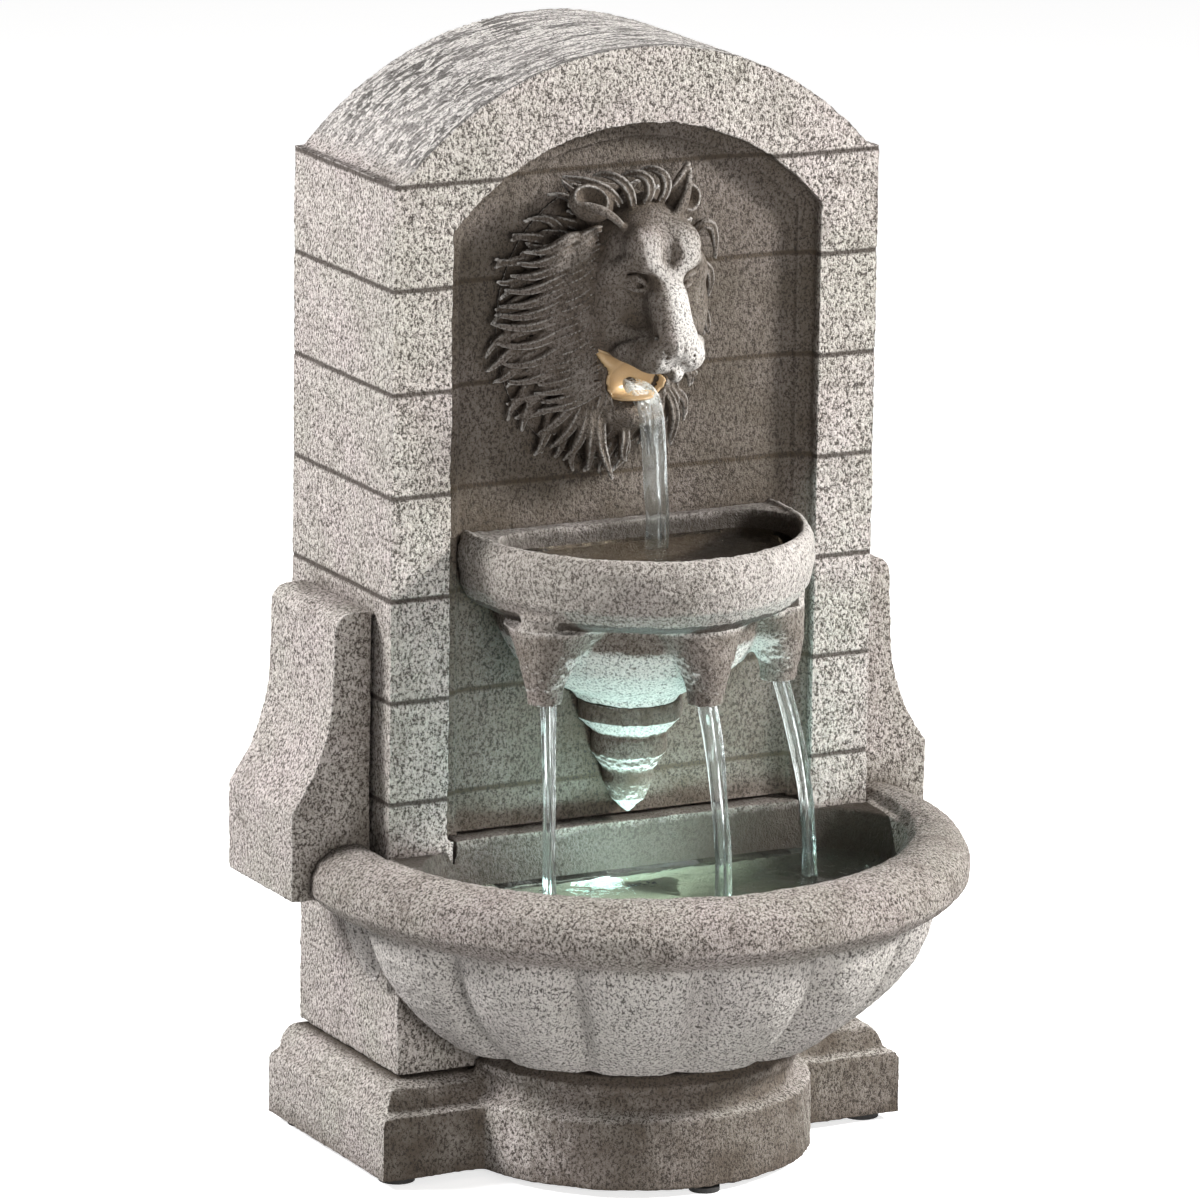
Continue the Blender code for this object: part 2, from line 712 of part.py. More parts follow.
def make_buttress(name, side):
    """One scrolled buttress with the blind holes of its two bolts."""
    outline = [(side * x, z) for x, z in buttress_outline()]
    mesh = prism_mesh(name, outline, (BUTTRESS_FRONT, BUTTRESS_BACK))
    obj = place(name, mesh, stone(name + "_stone"))
    bm = bmesh.new()
    half = COLUMN_WIDTH / 2
    for z in BUTTRESS_BOLT_Z:
        add_rod(bm, BOLT_RADIUS + GAP, (side * (half - OVERSHOOT), BUTTRESS_BOLT_Y, z),
                (side * (half + BUTTRESS_BOLT_GRIP + GAP), BUTTRESS_BOLT_Y, z), 16)
    cut(obj, hide_cutter(name + "_holes", mesh_from(bm, name + "_holes")))
    return obj


def make_pedestal():
    """The hollow pedestal, open in front for the basin's neck."""
    half = PEDESTAL_WIDTH / 2
    bottom = PLINTH_TOP + GAP
    top = COLUMN_BOTTOM - GAP
    obj = place("pedestal", box_mesh("pedestal", (-half, half), (0.0, COLUMN_DEPTH),
                (bottom, top)), stone("pedestal_stone"))
    hollow = box_cutter("pedestal_hollow", (-half + PEDESTAL_WALL, half - PEDESTAL_WALL),
                        (PEDESTAL_WALL, COLUMN_DEPTH - BACK_WALL),
                        (bottom - OVERSHOOT, top + OVERSHOOT))
    neck = box_cutter("pedestal_neck_opening", (-TANK_WIDTH / 2 - GAP, TANK_WIDTH / 2 + GAP),
                      (-OVERSHOOT, PEDESTAL_WALL + OVERSHOOT),
                      (TANK_BOTTOM - GAP, top + OVERSHOOT))
    cut(obj, hollow, neck)
    return obj


def rectangle(half_width, front, back, z):
    """The corners of a level rectangle."""
    return [world(-half_width, front, z), world(half_width, front, z),
            world(half_width, back, z), world(-half_width, back, z)]


def make_plinth():
    """The plinth block with its moulding, and the round foot that grows out of it."""
    half = PLINTH_WIDTH / 2
    inner = PEDESTAL_WIDTH / 2
    step = 0.004
    rings = [rectangle(half, PLINTH_FRONT, COLUMN_DEPTH, PLINTH_BOTTOM),
             rectangle(half, PLINTH_FRONT, COLUMN_DEPTH, PLINTH_BLOCK_TOP - step),
             rectangle(half - step / 2, PLINTH_FRONT + step / 2, COLUMN_DEPTH, PLINTH_BLOCK_TOP)]
    shelf = half - 2 * step
    run = shelf - inner
    for turn in (0, 25, 50, 75, 90):
        angle = math.radians(turn)
        out = inner + run * math.cos(angle)
        z = PLINTH_BLOCK_TOP + step / 2 + (PLINTH_TOP - PLINTH_BLOCK_TOP - step / 2) * math.sin(angle)
        setback = (half - out) * (-PLINTH_FRONT) / (half - inner)
        rings.append(rectangle(out, PLINTH_FRONT + setback, COLUMN_DEPTH, z))
    obj = place("plinth", loft_mesh("plinth", rings), stone("plinth_stone"))
    neck = FOOT_NECK_RADIUS
    profile = [(0.0, FOOT_TOP), (neck, FOOT_TOP), (neck + 0.002, FOOT_TOP - 0.004),
               (FOOT_RING_RADIUS, FOOT_TOP - 0.007), (FOOT_RING_RADIUS, FOOT_TOP - 0.013),
               (neck + 0.003, FOOT_TOP - 0.017), (neck + 0.003, DRUM_TOP + 0.006),
               (FOOT_RING_RADIUS, DRUM_TOP + 0.002), (DRUM_RADIUS - 0.003, DRUM_TOP),
               (DRUM_RADIUS, DRUM_TOP - 0.003), (DRUM_RADIUS, PLINTH_BOTTOM), (0.0, PLINTH_BOTTOM)]
    drum = turned_cutter("drum", profile, (0, 0, 0), steps=56)
    behind = box_cutter("behind_foot", (-half, half), (-GAP, COLUMN_DEPTH + OVERSHOOT),
                        (PLINTH_TOP, FOOT_TOP + OVERSHOOT))
    hollow = box_cutter("plinth_hollow", (-half + PLINTH_WALL, half - PLINTH_WALL),
                        (PEDESTAL_WALL, COLUMN_DEPTH - BACK_WALL),
                        (PLINTH_BOTTOM - OVERSHOOT, PLINTH_TOP + OVERSHOOT))
    core_radius = DRUM_RADIUS - DRUM_WALL
    core = turned_cutter("drum_core", [(0.0, DRUM_TOP), (core_radius, DRUM_TOP),
                         (core_radius, PLINTH_BOTTOM - OVERSHOOT), (0.0, PLINTH_BOTTOM - OVERSHOOT)],
                         (0, 0, 0), steps=32)
    front_only = box_cutter("drum_core_front", (-half, half), (-COLUMN_WIDTH, PLINTH_FRONT),
                            (-OVERSHOOT, DRUM_TOP + OVERSHOOT))
    keep_inside(core, front_only)
    join(obj, drum)
    cut(obj, behind, hollow, core)
    return obj


def foot_spots():
    """Names and plan positions of the rubber pads."""
    side = PLINTH_WIDTH / 2 - PAD_INSET
    front = PLINTH_FRONT + PAD_INSET
    back = COLUMN_DEPTH - PAD_INSET
    reach = DRUM_RADIUS - DRUM_WALL / 2
    return {"foot_front_left": (-side, front), "foot_front_right": (side, front),
            "foot_back_left": (-side, back), "foot_back_right": (side, back),
            "foot_basin": (0.0, -reach)}


def make_feet():
    """Rubber pads under the plinth and under the round foot."""
    for name, (x, y) in foot_spots().items():
        radius = PAD_RADIUS if name != "foot_basin" else DRUM_WALL / 2 - 0.002
        place(name, rod_mesh(name, radius, (x, y, 0.0), (x, y, PLINTH_BOTTOM - GAP), 20),
              black_rubber(name + "_rubber"))


def lobe_weight(angle):
    """How far a point lies on a lobe: 0 in a groove, 1 on a crest."""
    return math.sqrt(abs(math.cos(LOBE_COUNT / 2 * (angle + math.pi / 2))))


def belly_rings():
    """Level rings of the gadrooned belly, from its top to its foot."""
    count = LOBE_COUNT * LOBE_SEGMENTS
    top = BASIN_RIM_BOTTOM + 0.004
    bottom = FOOT_TOP + GAP
    drop = BASIN_BELLY_RADIUS - BASIN_BELLY_FOOT_RADIUS
    rings = []
    for share in (0.0, 0.08, 0.22, 0.38, 0.54, 0.70, 0.84, 0.94, 1.0):
        crest = BASIN_BELLY_FOOT_RADIUS + drop * (1 - share ** 2)
        if share == 1.0:
            crest = BASIN_BELLY_END_RADIUS
        swell = LOBE_SWELL * (0.45 + 0.55 * math.sin(math.pi * min(1.0, share + 0.1)))
        ring = []
        for k in range(count):
            angle = math.tau * k / count
            radius = crest - swell * (1 - lobe_weight(angle))
            ring.append(world(radius * math.cos(angle), radius * math.sin(angle),
                              top - (top - bottom) * share))
        rings.append(ring)
    return rings


def opening_ring(radius, rear, corner, z):
    """A level half-round outline with rounded rear corners."""
    points = []
    corner = min(corner, CORNER_SHARE * (radius + rear))
    depth = corner - rear
    centre_x = math.sqrt((radius - corner) ** 2 - depth ** 2)
    tangent = math.degrees(math.atan2(-depth, centre_x))
    for x, y in arc((0.0, 0.0), radius, -180 - tangent, tangent, 44):
        points.append(world(x, y, z))
    for x, y in arc((centre_x, -depth), corner, tangent, 90, 7)[1:]:
        points.append(world(x, y, z))
    for x, y in arc((-centre_x, -depth), corner, 90, 180 - tangent, 7)[:-1]:
        points.append(world(x, y, z))
    return points


def basin_rim_profile():
    """The rolled rim, down its outer side and back to the axis."""
    middle = (BASIN_RIM_TOP + BASIN_RIM_BOTTOM) / 2
    profile = [(0.0, BASIN_RIM_TOP - BASIN_RIM_SINK)]
    profile += [(BASIN_OPENING_RADIUS + out, BASIN_RIM_TOP - drop) for out, drop in BASIN_RIM_INNER_STEPS]
    profile += [(BASIN_RADIUS - inset, BASIN_RIM_TOP - drop) for inset, drop in BASIN_RIM_OUTER_STEPS]
    profile += [(BASIN_RADIUS, middle + BASIN_RIM_BULGE), (BASIN_RADIUS, middle - BASIN_RIM_FALL),
                (BASIN_RADIUS - BASIN_RIM_TOE, BASIN_RIM_BOTTOM + BASIN_RIM_TOE_HEIGHT),
                (BASIN_RADIUS - BASIN_RIM_TUCK, BASIN_RIM_BOTTOM), (0.0, BASIN_RIM_BOTTOM)]
    return profile


def behind_basin_ring(z):
    """Plan outline of the room that column and buttresses take behind the basin."""
    far = BASIN_RADIUS * 2
    half = COLUMN_WIDTH / 2 + GAP
    wing = BUTTRESS_FRONT - GAP
    plan = ((-far, wing), (-half, wing), (-half, -GAP), (half, -GAP), (half, wing), (far, wing),
            (far, far), (-far, far))
    return [world(x, y, z) for x, y in plan]


def make_lower_basin():
    """The gadrooned basin, its neck through the column and the sump tank behind."""
    obj = place("lower_basin", loft_mesh("lower_basin", belly_rings()), stone("basin_stone"))
    rim = turned_cutter("basin_rim", basin_rim_profile(), (0, 0, 0), steps=LOBE_COUNT * LOBE_SEGMENTS)
    join(obj, rim)
    behind = hide_cutter("behind_basin", loft_mesh("behind_basin", [
        behind_basin_ring(z) for z in (0.0, BASIN_RADIUS * 2)]))
    neck = box_cutter("basin_neck", (-TANK_WIDTH / 2, TANK_WIDTH / 2), (-NECK_OVERLAP, TANK_BACK),
                      (TANK_BOTTOM, TANK_TOP))
    cut(obj, behind)
    join(obj, neck)
    levels = [(BASIN_OPENING_RADIUS + BASIN_MOUTH_FLARE, BASIN_REAR, BASIN_RIM_TOP + OVERSHOOT),
              (BASIN_OPENING_RADIUS, BASIN_REAR, BASIN_RIM_TOP - BASIN_RIM_SINK)]
    levels += [(BASIN_OPENING_RADIUS - inset, back, z) for inset, z, back in BASIN_INSIDE]
    bowl = hide_cutter("basin_bowl", loft_mesh("basin_bowl", [
        opening_ring(radius, back, BASIN_OPENING_CORNER, z) for radius, back, z in levels]))
    tank = box_cutter("tank_inside", (-TANK_WIDTH / 2 + TANK_WALL, TANK_WIDTH / 2 - TANK_WALL),
                      (TANK_FRONT_INSIDE, TANK_BACK - TANK_WALL), (TANK_FLOOR, TANK_TOP + OVERSHOOT))
    passage = box_cutter("passage", (-PASSAGE_WIDTH / 2, PASSAGE_WIDTH / 2),
                         (-PASSAGE_REACH, TANK_FRONT_INSIDE + OVERSHOOT), (PASSAGE_BOTTOM, PASSAGE_TOP))
    cut(obj, bowl, tank, passage)
    return obj


def make_grille():
    """The slotted plate in the passage to the sump."""
    half = PASSAGE_WIDTH / 2 - GAP
    y = (GRILLE_FRONT, GRILLE_FRONT + GRILLE_THICKNESS)
    obj = place("sump_grille", box_mesh("sump_grille", (-half, half), y,
                (PASSAGE_BOTTOM + GAP, PASSAGE_TOP - GAP)), black_plastic("grille_plastic"))
    inner = 2 * (half - GRILLE_FRAME)
    slot = (inner - (GRILLE_SLOTS - 1) * GRILLE_BAR) / GRILLE_SLOTS
    for k in range(GRILLE_SLOTS):
        left = -inner / 2 + k * (slot + GRILLE_BAR)
        cut(obj, box_cutter("grille_slot_%d" % k, (left, left + slot),
                            (y[0] - OVERSHOOT, y[1] + OVERSHOOT),
                            (PASSAGE_BOTTOM + GRILLE_FRAME, PASSAGE_TOP - GRILLE_FRAME)))
    return obj


def bowl_profile():
    """The upper bowl's reach and height: rolled rim, undercut and round belly."""
    top = BOWL_RIM_TOP
    low = BOWL_RIM_BOTTOM
    belly = BOWL_BELLY_RADIUS
    depth = low - BOWL_BOTTOM_Z
    profile = [(BOWL_OPENING_RADIUS, top - BOWL_RIM_INNER_DROP), (BOWL_OPENING_RADIUS + BOWL_RIM_LIP, top)]
    profile += [(BOWL_RADIUS - inset, top - drop) for inset, drop in BOWL_RIM_OUTER_STEPS]
    profile += [(BOWL_RADIUS - inset, low + rise) for inset, rise in BOWL_BAND_STEPS]
    profile += [(belly + BOWL_UNDERCUT, low), (belly, low + BOWL_RIM_INNER_DROP / 2)]
    for turn in BOWL_BELLY_TURNS:
        angle = math.radians(turn)
        profile.append((belly * math.cos(angle), low - depth * math.sin(angle)))
    profile.append((BOWL_BOTTOM_RADIUS * BOWL_BOTTOM_TAPER, BOWL_BOTTOM_Z))
    return profile


def bowl_ring(reach, z):
    """A level oval of the upper bowl."""
    side = reach * BOWL_SIDE_RADIUS / BOWL_RADIUS
    ring = []
    for k in range(BOWL_SEGMENTS):
        angle = math.tau * k / BOWL_SEGMENTS
        ring.append(world(BOWL_X + side * math.cos(angle), reach * math.sin(angle), z))
    return ring


def bowl_opening(reach, rear, z):
    """A level outline of the upper bowl's inside."""
    ratio = BOWL_SIDE_RADIUS / BOWL_RADIUS
    return [Vector((BOWL_X + point.x * ratio, point.y, point.z))
            for point in opening_ring(reach, rear, BOWL_OPENING_CORNER, z)]


def make_upper_bowl():
    """The wall bowl with its three open spouts."""
    rings = [bowl_ring(reach, z) for reach, z in bowl_profile()]
    obj = place("upper_bowl", loft_mesh("upper_bowl", rings), stone("bowl_stone"))
    bosses = bmesh.new()
    bores = bmesh.new()
    feeds = bmesh.new()
    for x, y in SPOUT_SPOTS:
        add_rod(bosses, SPOUT_RADIUS, (x, y, SPOUT_BOTTOM), (x, y, BOWL_RIM_BOTTOM + SPOUT_OVERLAP), 20,
                SPOUT_RADIUS + SPOUT_FLARE)
        add_rod(bores, SPOUT_BORE, (x, y, SPOUT_BOTTOM - OVERSHOOT), (x, y, BOWL_FLOOR_Z + SPOUT_OVERLAP), 16)
        start = BOWL_FLOOR_Z + SPOUT_FEED
        add_rod(feeds, SPOUT_FEED, (BOWL_X + (x - BOWL_X) * SPOUT_FEED_START, y * SPOUT_FEED_START,
                start + 0.001), (x, y, start - 0.001), 12)
    join(obj, hide_cutter("spout_bosses", mesh_from(bosses, "spout_bosses")))
    far = BOWL_RADIUS * 2
    low = SPOUT_BOTTOM - BOWL_RADIUS
    high = BOWL_RIM_TOP + OVERSHOOT
    inner_half = NICHE_WIDTH / 2 - FRAME_WIDTH - GAP
    wall = box_cutter("behind_bowl", (-far, far), (NICHE_DEPTH - GAP, far), (low, high))
    left = box_cutter("left_of_bowl", (-far, -inner_half), (FRAME_DEPTH - GAP, far), (low, high))
    right = box_cutter("right_of_bowl", (inner_half, far), (FRAME_DEPTH - GAP, far), (low, high))
    levels = [(BOWL_OPENING_RADIUS, BOWL_INSIDE_LEVELS[0][1], BOWL_RIM_TOP + OVERSHOOT)]
    levels += [(BOWL_OPENING_RADIUS - inset, rear, BOWL_RIM_TOP - drop)
               for inset, rear, drop in BOWL_INSIDE_LEVELS]
    levels += [(BOWL_FLOOR_RADIUS + BOWL_FLOOR_ROUND, BOWL_WALL_REAR, BOWL_FLOOR_Z + BOWL_FLOOR_RISE),
               (BOWL_FLOOR_RADIUS, BOWL_FLOOR_REAR, BOWL_FLOOR_Z)]
    inside = hide_cutter("bowl_inside", loft_mesh("bowl_inside", [
        bowl_opening(reach, rear, z) for reach, rear, z in levels]))
    holes = bmesh.new()
    for x, z in wall_bolt_spots()[2:4]:
        add_rod(holes, BOLT_RADIUS + GAP, (x, NICHE_DEPTH + OVERSHOOT, z),
                (x, NICHE_DEPTH - BOWL_BOLT_DEPTH - GAP, z), 16)
    cut(obj, wall, left, right, inside,
        hide_cutter("spout_bores", mesh_from(bores, "spout_bores")),
        hide_cutter("spout_feeds", mesh_from(feeds, "spout_feeds")),
        hide_cutter("bowl_bolt_holes", mesh_from(holes, "bowl_bolt_holes")))
    return obj


def make_pendant():
    """The stepped pendant under the bowl, flat against the niche wall."""
    high = BOWL_BOTTOM_Z - GAP
    profile = [(0.0, high)]
    for radius, side_low, taper_low in PENDANT_STEPS:
        profile += [(radius, high), (radius, side_low), (radius * PENDANT_TAPER, taper_low)]
        high = taper_low - PENDANT_STEP_GROOVE
    profile += [(PENDANT_TIP_RADIUS, PENDANT_TIP_Z + PENDANT_TIP_HEIGHT), (0.0, PENDANT_TIP_Z)]
    obj = turned("bowl_pendant", profile, stone("pendant_stone"), (0, PENDANT_AXIS_Y, 0), steps=36)
    wall = box_cutter("behind_pendant", (-FAR, FAR), (NICHE_DEPTH - GAP, FAR), (0.0, BOWL_RIM_TOP))
    hole = rod_cutter("pendant_bolt_hole", BOLT_RADIUS + GAP,
                      (0.0, NICHE_DEPTH + OVERSHOOT, PENDANT_BOLT_Z),
                      (0.0, NICHE_DEPTH - MASK_BOLT_DEPTH - GAP, PENDANT_BOLT_Z), 16)
    cut(obj, wall, hole)
    return obj


def lion_point(x, depth, z):
    """A point of the mask: depth counts from the niche wall towards the viewer."""
    return world(LION_X + x, NICHE_DEPTH - depth, z)


def add_ball(bm, centre, radii, turn=0.0):
    """Add an ellipsoid, its radii along x, depth and z, rolled about x by an angle."""
    matrix = (Matrix.Translation(lion_point(*centre)) @ Matrix.Rotation(math.radians(turn), 4, "X")
              @ Matrix.Diagonal((*radii, 1.0)))
    bmesh.ops.create_icosphere(bm, subdivisions=3, radius=1.0, matrix=matrix)


def add_lock(bm, root, knee, tip, root_radius, tip_radius, sides=7, rows=6):
    """Add one lock of the mane: a tapering horn along a bent line."""
    start = lion_point(*root)
    middle = lion_point(*knee)
    end = lion_point(*tip)
    rows_of_points = []
    for row in range(rows + 1):
        t = row / rows
        centre = start.lerp(middle, t).lerp(middle.lerp(end, t), t)
        along = (middle.lerp(end, t) - start.lerp(middle, t)).normalized()
        frame = along.to_track_quat("Z", "Y").to_matrix()
        swell = 1.0 + 0.25 * math.sin(math.pi * t)
        radius = (root_radius + (tip_radius - root_radius) * t) * swell
        ring = []
        for k in range(sides):
            angle = math.tau * k / sides
            offset = frame @ Vector((radius * math.cos(angle), radius * math.sin(angle), 0))
            ring.append(bm.verts.new(centre + offset))
        rows_of_points.append(ring)
    for low, high in zip(rows_of_points, rows_of_points[1:]):
        for k in range(sides):
            after = (k + 1) % sides
            bm.faces.new((low[k], low[after], high[after], high[k]))
    bm.faces.new(list(reversed(rows_of_points[0])))
    bm.faces.new(rows_of_points[-1])


def mane_edge(angle):
    """How far the mane reaches from its middle in a direction, in degrees from +x."""
    turn = math.radians(angle)
    reach_x = MANE_REACH_RIGHT if math.cos(turn) > 0 else MANE_REACH_LEFT
    reach_z = MANE_REACH_UP if math.sin(turn) > 0 else MANE_REACH_DOWN
    return math.hypot(reach_x * math.cos(turn), reach_z * math.sin(turn))


def add_mane(bm):
    """Two layers of locks round the face."""
    for count, inner, outer, depth, start in (OUTER_LOCKS, INNER_LOCKS):
        for k in range(count):
            angle = start + 360.0 * k / count
            reach = mane_edge(angle) * (1.0 + MANE_RUFFLE * (-1) ** k)
            swirl = MANE_SWIRL if math.cos(math.radians(angle)) > 0 else -MANE_SWIRL
            points = []
            for share, lift, shift in ((inner, depth, 0), ((inner + outer) / 2, depth * MANE_CREST, 0),
                                       (outer, depth * MANE_TIP_DEPTH, swirl)):
                turn = math.radians(angle - shift)
                points.append((reach * share * math.cos(turn), lift,
                               LION_BASE_Z + reach * share * math.sin(turn)))
            add_lock(bm, *points, LOCK_RADIUS, LOCK_RADIUS * LOCK_TIP_SHARE)


def mirrored(point, side):
    """A point of the face on one side of its middle."""
    return (side * point[0], point[1], point[2])


def add_face(bm):
    """Skull, brow, muzzle, cheeks, ears, jaw and beard."""
    for form in (MANE_BED, SKULL, FOREHEAD, NOSE, JAW):
        add_ball(bm, *form)
    add_ball(bm, *BRIDGE, BRIDGE_ROLL)
    for side in (-1, 1):
        for centre, radii in (BROW, CHEEK, MUZZLE, EYE):
            add_ball(bm, mirrored(centre, side), radii)
        add_lock(bm, *[mirrored(point, side) for point in EAR], EAR_RADIUS, EAR_TIP_RADIUS)
    for side in (-1, 0, 1):
        points = [(side * BEARD_SPREAD * share, depth, z) for share, depth, z in BEARD]
        x, depth, z = points[-1]
        points[-1] = (x, depth, z + BEARD_SIDE_LIFT * abs(side))
        add_lock(bm, *points, BEARD_RADIUS, BEARD_TIP_RADIUS)


def make_lion():
    """The lion mask: forms merged into one skin, flat at the back, with an open mouth."""
    bm = bmesh.new()
    add_face(bm)
    add_mane(bm)
    obj = place("lion_mask", mesh_from(bm, "lion_mask"), stone("lion_stone"))
    skin = obj.modifiers.new("one_skin", "REMESH")
    skin.mode = "VOXEL"
    skin.voxel_size = LION_VOXEL
    fewer = obj.modifiers.new("fewer_faces", "DECIMATE")
    fewer.ratio = LION_KEEP
    wall = box_cutter("behind_lion", (-FAR, FAR), (NICHE_DEPTH - GAP, FAR),
                      (LION_BASE_Z - FAR, LION_BASE_Z + FAR))
    bm = bmesh.new()
    add_ball(bm, *MOUTH)
    mouth = hide_cutter("mouth", mesh_from(bm, "mouth"))
    trough = box_cutter("trough_room", (LION_X - TROUGH_WIDTH / 2 - GAP, LION_X + TROUGH_WIDTH / 2 + GAP),
                        (TROUGH_FRONT - FAR, TROUGH_BACK + GAP),
                        (SPOUT_AXIS_Z - TROUGH_DROP - GAP, SPOUT_AXIS_Z + TROUGH_RISE + GAP))
    hole = rod_cutter("spout_passage", SPOUT_TUBE_RADIUS + GAP, (LION_X, TROUGH_FRONT, SPOUT_AXIS_Z),
                      (LION_X, NICHE_DEPTH + OVERSHOOT, SPOUT_AXIS_Z), 20)
    bm = bmesh.new()
    for x, z in wall_bolt_spots()[:2]:
        add_rod(bm, BOLT_RADIUS + GAP, (x, NICHE_DEPTH + OVERSHOOT, z),
                (x, NICHE_DEPTH - MASK_BOLT_DEPTH - GAP, z), 16)
    cut(obj, wall, mouth, trough, hole, hide_cutter("mask_bolt_holes", mesh_from(bm, "mask_bolt_holes")))
    return obj


def make_mouth_spout():
    """The amber trough in the mouth and its tube through the wall."""
    amber = material("amber_plastic", (0.62, 0.42, 0.20), 0.35)
    obj = place("mouth_spout", rod_mesh("mouth_spout", SPOUT_TUBE_RADIUS,
                (LION_X, -SPOUT_OVERHANG, SPOUT_AXIS_Z), (LION_X, SPOUT_TAIL_END, SPOUT_AXIS_Z), 20), amber)
    half = TROUGH_WIDTH / 2
    block = box_cutter("trough_block", (LION_X - half, LION_X + half), (TROUGH_FRONT, TROUGH_BACK),
                       (SPOUT_AXIS_Z - TROUGH_DROP, SPOUT_AXIS_Z + TROUGH_RISE))
    channel = box_cutter("trough_channel", (LION_X - half + TROUGH_WALL, LION_X + half - TROUGH_WALL),
                         (TROUGH_FRONT - OVERSHOOT, TROUGH_BACK - TROUGH_WALL),
                         (SPOUT_AXIS_Z - TROUGH_DROP + TROUGH_WALL, SPOUT_AXIS_Z + OVERSHOOT))
    bore = rod_cutter("spout_bore", SPOUT_TUBE_BORE, (LION_X, -2 * SPOUT_OVERHANG, SPOUT_AXIS_Z),
                      (LION_X, SPOUT_TAIL_END + OVERSHOOT, SPOUT_AXIS_Z), 16)
    join(obj, block)
    cut(obj, channel, bore)
    return obj


def ring_profile(inner, outer, low, high):
    """A closed ring section, down its outer side."""
    return [(outer, high), (outer, low), (inner, low), (inner, high)]


def make_nut(name, spot, front, back, radius, bore):
    """A hexagon nut along y with a round bore."""
    x, z = spot
    obj = place(name, rod_mesh(name, radius, (x, front, z), (x, back, z), 6),
                black_plastic(name + "_plastic"))
    cut(obj, rod_cutter(name + "_bore", bore, (x, front - OVERSHOOT, z), (x, back + OVERSHOOT, z)))
    return obj


def make_spout_fixings():
    """The rubber washer and the nut behind the niche wall."""
    inner = SPOUT_TUBE_RADIUS + GAP
    washer_front = FRONT_WALL + GAP
    washer_back = washer_front + SPOUT_WASHER_THICKNESS
    turned("spout_washer", ring_profile(inner, SPOUT_WASHER_RADIUS, washer_front, washer_back),
           black_rubber("washer_rubber"), (LION_X, 0, SPOUT_AXIS_Z), ALONG_Y, 24, True)
    nut_front = washer_back + GAP
    make_nut("spout_nut", (LION_X, SPOUT_AXIS_Z), nut_front, nut_front + SPOUT_NUT_LENGTH,
             SPOUT_NUT_RADIUS, inner)


def make_wall_bolts():
    """Hexagon bolts through the niche wall into the mask, the bowl and the pendant."""
    names = ("mask_bolt_left", "mask_bolt_right", "bowl_bolt_left", "bowl_bolt_right", "pendant_bolt")
    depths = (MASK_BOLT_DEPTH, MASK_BOLT_DEPTH, BOWL_BOLT_DEPTH, BOWL_BOLT_DEPTH, MASK_BOLT_DEPTH)
    seat = FRONT_WALL + GAP
    for name, depth, (x, z) in zip(names, depths, wall_bolt_spots()):
        obj = place(name, rod_mesh(name, BOLT_HEAD_RADIUS, (x, seat, z),
                    (x, seat + BOLT_HEAD_HEIGHT, z), 6), steel(name + "_steel"))
        join(obj, rod_cutter(name + "_shank", BOLT_RADIUS, (x, NICHE_DEPTH - depth, z),
                             (x, seat + BOLT_HEAD_HEIGHT / 2, z), 12))


def make_buttress_bolts():
    """Hexagon bolts through the column's sides into the buttresses."""
    half = COLUMN_WIDTH / 2
    seat = half - COLUMN_WALL - GAP
    for label, side in (("left", -1), ("right", 1)):
        for level, z in zip(("lower", "upper"), BUTTRESS_BOLT_Z):
            name = "buttress_bolt_%s_%s" % (label, level)
            y = BUTTRESS_BOLT_Y
            obj = place(name, rod_mesh(name, BOLT_HEAD_RADIUS, (side * seat, y, z),
                        (side * (seat - BOLT_HEAD_HEIGHT), y, z), 6), steel(name + "_steel"))
            join(obj, rod_cutter(name + "_shank", BOLT_RADIUS,
                                 (side * (seat - BOLT_HEAD_HEIGHT / 2), y, z),
                                 (side * (half + BUTTRESS_BOLT_GRIP), y, z), 12))


def pump_levels():
    """Heights of the pump's foot, axis and top."""
    foot = TANK_FLOOR + PUMP_LEG
    return foot, foot + PUMP_HEIGHT / 2, foot + PUMP_HEIGHT


def pump_stations():
    """Places along x: motor end, joint between motor and cover, cover's outer face."""
    start = PUMP_X - PUMP_BODY_LENGTH / 2
    joint = PUMP_X + PUMP_BODY_LENGTH / 2
    return start, joint, joint + GAP + COVER_LENGTH


def rotor_start():
    """Where the rotor begins along x."""
    return pump_stations()[1] - ROTOR_LENGTH


def make_pump_housing():
    """The motor block with the well of its rotor."""
    foot, axis, top = pump_levels()
    start, joint, _ = pump_stations()
    half = PUMP_DEPTH / 2
    obj = place("pump_housing", box_mesh("pump_housing", (start, joint),
                (PUMP_Y - half, PUMP_Y + half), (foot, top)), black_plastic("pump_plastic"))
    soften(obj, 0.004, 3)
    well_end = rotor_start() - ROTOR_WELL_CLEARANCE
    well = rod_cutter("rotor_well", ROTOR_RADIUS + RUNNING_GAP, (well_end, PUMP_Y, axis),
                      (joint + OVERSHOOT, PUMP_Y, axis), 28)
    seat = rod_cutter("shaft_seat", SHAFT_RADIUS + GAP, (well_end - SHAFT_SEAT, PUMP_Y, axis),
                      (joint, PUMP_Y, axis), 16)
    cut(obj, well, seat)
    return obj


